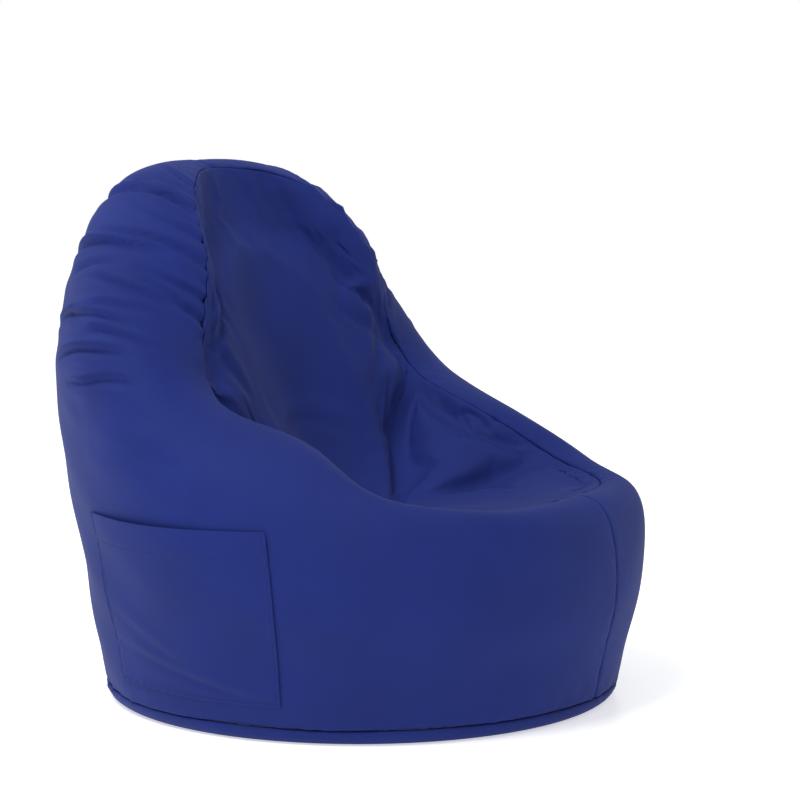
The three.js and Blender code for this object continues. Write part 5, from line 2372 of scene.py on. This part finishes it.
@dataclass
class Zip:
    """One closed zip: two tapes, two coils, two stops, a slider and its pull."""

    prefix: str
    sides: tuple[str, str]
    finishes: Finishes
    sizes: ZipSizes
    matrix: Matrix
    bodies: tuple[str, str]
    pull_turn: float

    def build(self) -> None:
        """Makes every piece in the zip's own frame and sets it in the bag."""
        z = self.sizes
        for side, sign in zip(self.sides, (-1, 1)):
            tape = block((z.tape_width, z.tape_length, z.tape_thickness),
                         (sign * (z.tape_inner + z.tape_width / 2), z.length / 2,
                          z.tape_top - z.tape_thickness / 2))
            self.set_in(soften(tape, z.tape_edge), f"zip_tape_{side}", "bag", "zip_tape", self.finishes.tape)
            self.set_in(self.coil(sign), f"zip_teeth_{side}", "bag", "zip_teeth", self.finishes.teeth)
        for end, y in (("closed", z.stop_length / 2), ("open", z.length - z.stop_length / 2)):
            stop = block((2 * z.coil_outer, z.stop_length, z.coil_height),
                         (0, y, z.coil_top - z.coil_height / 2))
            self.set_in(soften(stop, z.stop_edge, 3), f"zip_stop_{end}", "bag", "zip_metal",
                        self.finishes.metal)
        self.set_in(self.slider(), "zip_slider", self.bodies[0], "zip_metal", self.finishes.metal)
        self.set_in(self.pull(), "zip_pull", self.bodies[1], "zip_metal", self.finishes.metal)

    def set_in(self, piece: Piece, part: str, body: str, slot: str,
               finish: bpy.types.Material) -> None:
        """Moves a finished piece from the zip's frame into the bag and names it.

        Args:
            piece: the piece.
            part: its name in the zip.
            body: the CAD body that it rides on.
            slot: its material slot.
            finish: its material.
        """
        piece.data.transform(self.matrix)
        piece.name = piece.data.name = f"{self.prefix}_{part}_piece"
        place(piece, body, slot, finish, f"{self.prefix}_{part}")

    def coil(self, sign: int) -> Piece:
        """One row of nylon loops, each a squashed ring across the zip.

        Args:
            sign: -1 or 1, the side that it is on.

        Returns:
            The row, in the zip's frame.
        """
        z = self.sizes
        bpy.ops.mesh.primitive_torus_add(major_segments=12, minor_segments=5, major_radius=1.0,
                                         minor_radius=2 * z.wire / z.coil_height, rotation=(TURN / 4, 0, 0))
        ring = bpy.context.active_object
        outside = 1 + 2 * z.wire / z.coil_height
        ring.scale = ((z.coil_outer - z.coil_inner) / 2 / outside, z.wire * 2.2, z.coil_height / 2 / outside)
        bpy.ops.object.transform_apply(location=True, rotation=True, scale=True)
        usable = z.length - 2 * z.stop_length - 2 * z.air
        count = int(usable / z.coil_pitch)
        y = z.length / 2 + (np.arange(count) - (count - 1) / 2) * z.coil_pitch
        frames = np.tile(np.eye(4), (count, 1, 1))
        frames[:, 0, 3] = sign * (z.coil_inner + z.coil_outer) / 2
        frames[:, 1, 3] = y + sign * z.coil_pitch / 4
        frames[:, 2, 3] = z.coil_top - z.coil_height / 2
        return copies("coil", ring, frames)

    def plate(self, low: float) -> Piece:
        """One plate of the slider, narrower at its nose.

        Args:
            low: height of its lower face.

        Returns:
            The plate.
        """
        z = self.sizes
        piece = block((z.slider_width, z.slider_length, z.plate), (0, 0, low + z.plate / 2))
        select_only(piece)
        bpy.ops.object.mode_set(mode="EDIT")
        bpy.ops.mesh.select_all(action="SELECT")
        bpy.ops.mesh.subdivide(number_cuts=3)
        bpy.ops.object.mode_set(mode="OBJECT")
        for vertex in piece.data.vertices:
            share = clamp(-(vertex.co.y + z.slider_length * 0.1) / (z.slider_length * 0.4))
            vertex.co.x *= 1 - share * (1 - z.nose / z.slider_width)
        return soften(piece, z.plate_edge)

    def slider(self) -> Piece:
        """Two plates, the post between the coils, side flanges, and the bail for the pull.

        Returns:
            The slider, in the zip's frame.
        """
        z = self.sizes
        upper = z.coil_top + z.air
        lower = z.tape_top - z.tape_thickness - z.air
        half, overlap = z.slider_length / 2, z.plate / 2
        pieces = [self.plate(upper), self.plate(lower - z.plate)]
        post_height = upper - lower + 2 * overlap
        pieces.append(block((z.post, half * 0.9, post_height), (0, half / 2, (upper + lower) / 2)))
        flange_height = upper - z.tape_top - 2 * z.air + overlap
        lug_height = z.bail_height + 2 * z.bail_radius + overlap
        for sign in (-1, 1):
            pieces.append(soften(block((z.flange, half * 1.1, flange_height),
                                       (sign * (z.slider_width - z.flange) / 2, half * 0.4,
                                        upper + overlap - flange_height / 2)), z.tape_edge))
            pieces.append(soften(block((z.flange, 4 * z.bail_radius, lug_height),
                                       (sign * (z.eye_width / 2 + z.air + z.flange / 2), 0,
                                        z.plate_top - overlap + lug_height / 2)), z.lug_edge, 3))
        bar_length = z.eye_width + 2 * z.air + z.flange
        bar = rod(z.bail_radius, bar_length, (0, 0, z.plate_top + z.bail_height), Along.X)
        pieces.append(soften(bar, z.bar_edge))
        piece = merge("slider", pieces)
        piece.data.transform(Matrix.Translation((0, z.slider_start, 0)))
        return piece

    def pull(self) -> Piece:
        """Flat tab with a slot, on an eye round the bail's bar.

        Returns:
            The pull, in the zip's frame.
        """
        z = self.sizes
        inner = z.bail_radius + z.air
        bpy.ops.mesh.primitive_torus_add(major_segments=28, minor_segments=12, rotation=(0, TURN / 4, 0),
                                         major_radius=inner + z.eye_wall / 2, minor_radius=z.eye_wall / 2)
        eye = bpy.context.active_object
        bpy.ops.object.transform_apply(location=True, rotation=True, scale=True)
        eye.scale = (z.eye_width / z.eye_wall, 1, 1)
        bpy.ops.object.transform_apply(scale=True)
        bpy.ops.object.shade_smooth()
        round_end = z.pull_width / 2
        start = -inner - z.eye_wall * 0.5
        middle = (start - z.pull_length + round_end) / 2
        tab = block((z.pull_width, z.pull_length - round_end + start, z.pull_thickness), (0, middle, 0))
        for vertex in tab.data.vertices:
            if vertex.co.y > middle:
                vertex.co.x *= z.eye_width / z.pull_width
        combine(tab, rod(round_end, z.pull_thickness, (0, -z.pull_length + round_end, 0)), Fit.JOIN)
        slot_radius = round_end * 0.4
        low, high = -z.pull_length + 2 * round_end, -z.pull_length / 2
        slot = block((2 * slot_radius, high - low, 0.01), (0, (low + high) / 2, 0))
        for y in (low, high):
            combine(slot, rod(slot_radius, 0.01, (0, y, 0)), Fit.JOIN)
        combine(tab, slot, Fit.CUT)
        soften(tab, z.pull_edge)
        piece = merge("pull", [eye, tab])
        at = Matrix.Translation((0, z.slider_start, z.plate_top + z.bail_height))
        piece.data.transform(at @ Matrix.Rotation(self.pull_turn, 4, "X"))
        return piece


@dataclass
class ZipStitching:
    """Topstitching down both sides of the slot in the cover over its zip."""

    cover: Cover
    finishes: Finishes
    heights: tuple[float, float] = (0.048, 0.282)
    beside: float = 0.0115
    places: int = 70

    def build(self) -> None:
        """Makes the two rows."""
        rows = []
        heights = np.linspace(*self.heights, self.places)
        for sign in (-1, 1):
            line, normals = self.cover.on_back(np.full_like(heights, sign * self.beside), heights)
            rows.append((line + normals * (2 * THREAD_LIFT), normals))
        place(stitches("cover_zip_stitching", rows), "bag", "thread", self.finishes.thread)


# ---- handle and label ----


@dataclass
class Handle:
    """Webbing grip on the back, gathered at both ends, and the ends sewn down."""

    cover: Cover
    finishes: Finishes
    seam: BackSeam
    share: float = 0.72
    span: float = 0.150
    reach: float = 0.040
    thickness: float = 0.0024
    width: float = 0.025
    end_width: float = 0.010
    lift: float = 0.007
    droop: float = 60.0
    end_gap: float = 0.0012
    anchor: float = 0.034
    laid_gap: float = 0.0004
    box: tuple[int, int] = (20, 34)
    box_half: float = 0.78
    arch: float = 0.75
    gather: float = 0.6
    thread_height: float = 0.55

    def build(self) -> None:
        """Makes the grip, the two sewn ends and their box stitches."""
        base = self.seam.matrix_at(self.share)
        droop = Matrix.Rotation(math.radians(self.droop), 4, "X")
        hinge = base @ Matrix.Translation((0, 0, self.lift)) @ droop
        angle = np.linspace(0, math.pi, 73)
        wave = np.sin(angle)
        wave[-1] = 0.0
        centre = np.stack([-self.span / 2 * np.cos(angle), 0 * angle, self.reach * wave**self.arch], 1)
        slope = np.stack([wave, 0 * angle, np.cos(angle) * self.reach / self.span * 2], 1)
        out = unit(np.stack([-slope[:, 2], 0 * angle, slope[:, 0]], 1))
        half = (self.end_width + (self.width - self.end_width) * wave**self.gather) / 2
        grip = strip("carry_handle_webbing", centre, np.tile([0.0, 1.0, 0.0], (len(angle), 1)), out, half,
                     self.thickness)
        grip.data.transform(hinge)
        place(grip, "handle", "webbing", self.finishes.webbing, "carry_handle")
        stitch_rows = []
        for side, sign in (("right", -1), ("left", 1)):
            centre, across, out, half = self.anchor_path(base, sign)
            end = strip(f"handle_end_{side}_webbing", centre, across, out, half, self.thickness)
            place(end, "bag", "webbing", self.finishes.webbing, f"handle_end_{side}")
            stitch_rows += self.box_stitches(centre, across, out, half)
        place(stitches("handle_stitching", stitch_rows), "bag", "thread", self.finishes.thread)

    def anchor_path(self, base: Matrix, sign: int) -> tuple[Array, ...]:
        """Middle, width, thickness direction and half width of a sewn end, from the hinge outwards.

        Args:
            base: frame of the middle of the handle.
            sign: -1 or 1, the side that it is on.

        Returns:
            The four, point by point.
        """
        share = np.linspace(0, 1, 36)
        start = self.span / 2 + self.thickness / 2 + self.end_gap
        x = sign * (start + self.anchor * share)
        rows = np.array(base)
        hinge = rows[:3, 3] + rows[:3, 2] * self.lift + np.stack([x, 0 * x, 0 * x], 1)
        laid, normals = self.cover.on_back(x, np.full_like(x, rows[2, 3]))
        laid = laid + normals * (self.thickness / 2 + self.laid_gap)
        settled = ease(share / 0.55)[:, None]
        centre = hinge * (1 - settled) + laid * settled
        out = unit(rows[:3, 2] * (1 - settled) + normals * settled)
        along = unit(np.gradient(centre, axis=0))
        across = unit(np.cross(out, along))
        half = (self.end_width + (self.width - self.end_width) * ease(share / 0.6)) / 2
        return centre, across, unit(np.cross(along, across)), half

    def box_stitches(self, centre: Array, across: Array, out: Array,
                     half: Array) -> list[Pair]:
        """A sewn square with both diagonals on the flat part of an end.

        Args:
            centre: points along the middle of the end.
            across: direction of its width at each point.
            out: direction of its thickness at each point.
            half: half of its width at each point.

        Returns:
            Points and normals of each row.
        """
        first, last = self.box
        high = self.thickness * self.thread_height
        steps = np.arange(first, last + 1)
        rows = []
        for a, b in ((-1, -1), (1, 1), (-1, 1), (1, -1)):
            side = np.linspace(a, b, len(steps))[:, None] * self.box_half
            line = centre[steps] + across[steps] * half[steps, None] * side + out[steps] * high
            rows.append((line, out[steps]))
        side = np.linspace(-self.box_half, self.box_half, len(steps) - 1)[:, None]
        for k in self.box:
            line = centre[k] + across[k] * half[k] * side + out[k] * high
            rows.append((line, np.tile(out[k], (len(side), 1))))
        return rows


@dataclass
class CareLabel:
    """Blank satin label with one edge in the back seam above the zip."""

    cover: Cover
    finishes: Finishes
    width: float = 0.034
    height: float = 0.022
    middle: float = 0.3096
    thickness: float = 0.0005
    groove: float = 0.007
    seam_edge: float = 0.0008
    stand: float = 0.0006
    curl: float = 0.0030
    curl_start: float = 0.012
    tuck: float = 0.0022

    def build(self) -> None:
        """Makes the label: tucked into the seam, then lifting a little towards its free edge."""
        x = np.linspace(self.seam_edge, self.width, 40)[:, None]
        z = self.middle + np.linspace(-self.height / 2, self.height / 2, 26)[None]
        x, z = np.broadcast_arrays(x, z)
        laid, normals = self.cover.on_back(np.maximum(x, self.groove), z)
        short = clamp((self.groove - x) / self.groove)
        lift = self.stand + self.curl * ease((x - self.curl_start) / self.width) - self.tuck * short**2
        inwards = np.array([1.0, 0, 0]) * np.maximum(self.groove - x, 0)[..., None]
        piece = sheet_mesh("care_label_satin", laid + normals * lift[..., None] - inwards)
        give_thickness(piece, self.thickness)
        place(piece, "bag", "label", self.finishes.label, "care_label")


# ---- the whole chair ----


def corners(box: tuple[Vector, Vector]) -> list[list[float]]:
    """A box as plain lists of numbers."""
    return [list(corner) for corner in box]


def main() -> None:
    """Builds the studio and every piece in order."""
    logging.basicConfig(level=logging.INFO, format="%(name)s: %(message)s")
    frame_box = corners(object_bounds())
    finishes = Finishes()
    Studio().build(finishes)
    skin = BagSkin(BagShape())
    skin.settle()
    cover = Cover(skin, finishes)
    cover.build()
    InnerBag(skin, finishes).build()
    Pocket(cover, finishes).build()
    seam = BackSeam(skin.shape)
    Zip("cover", ("left", "right"), finishes, ZipSizes(cloth=0.0020), seam.matrix_on_line(COVER_ZIP_START),
        ("cover_slider", "cover_pull"), -seam.lean).build()
    Zip("liner", ("back", "front"), finishes, ZipSizes(cloth=0.0012), liner_zip_matrix(),
        ("liner_slider", "liner_slider"), 0.0).build()
    ZipStitching(cover, finishes).build()
    Handle(cover, finishes, seam).build()
    CareLabel(cover, finishes).build()
    {"frame": frame_box, "looks": corners(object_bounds())}


if __name__ == "__main__":
    main()
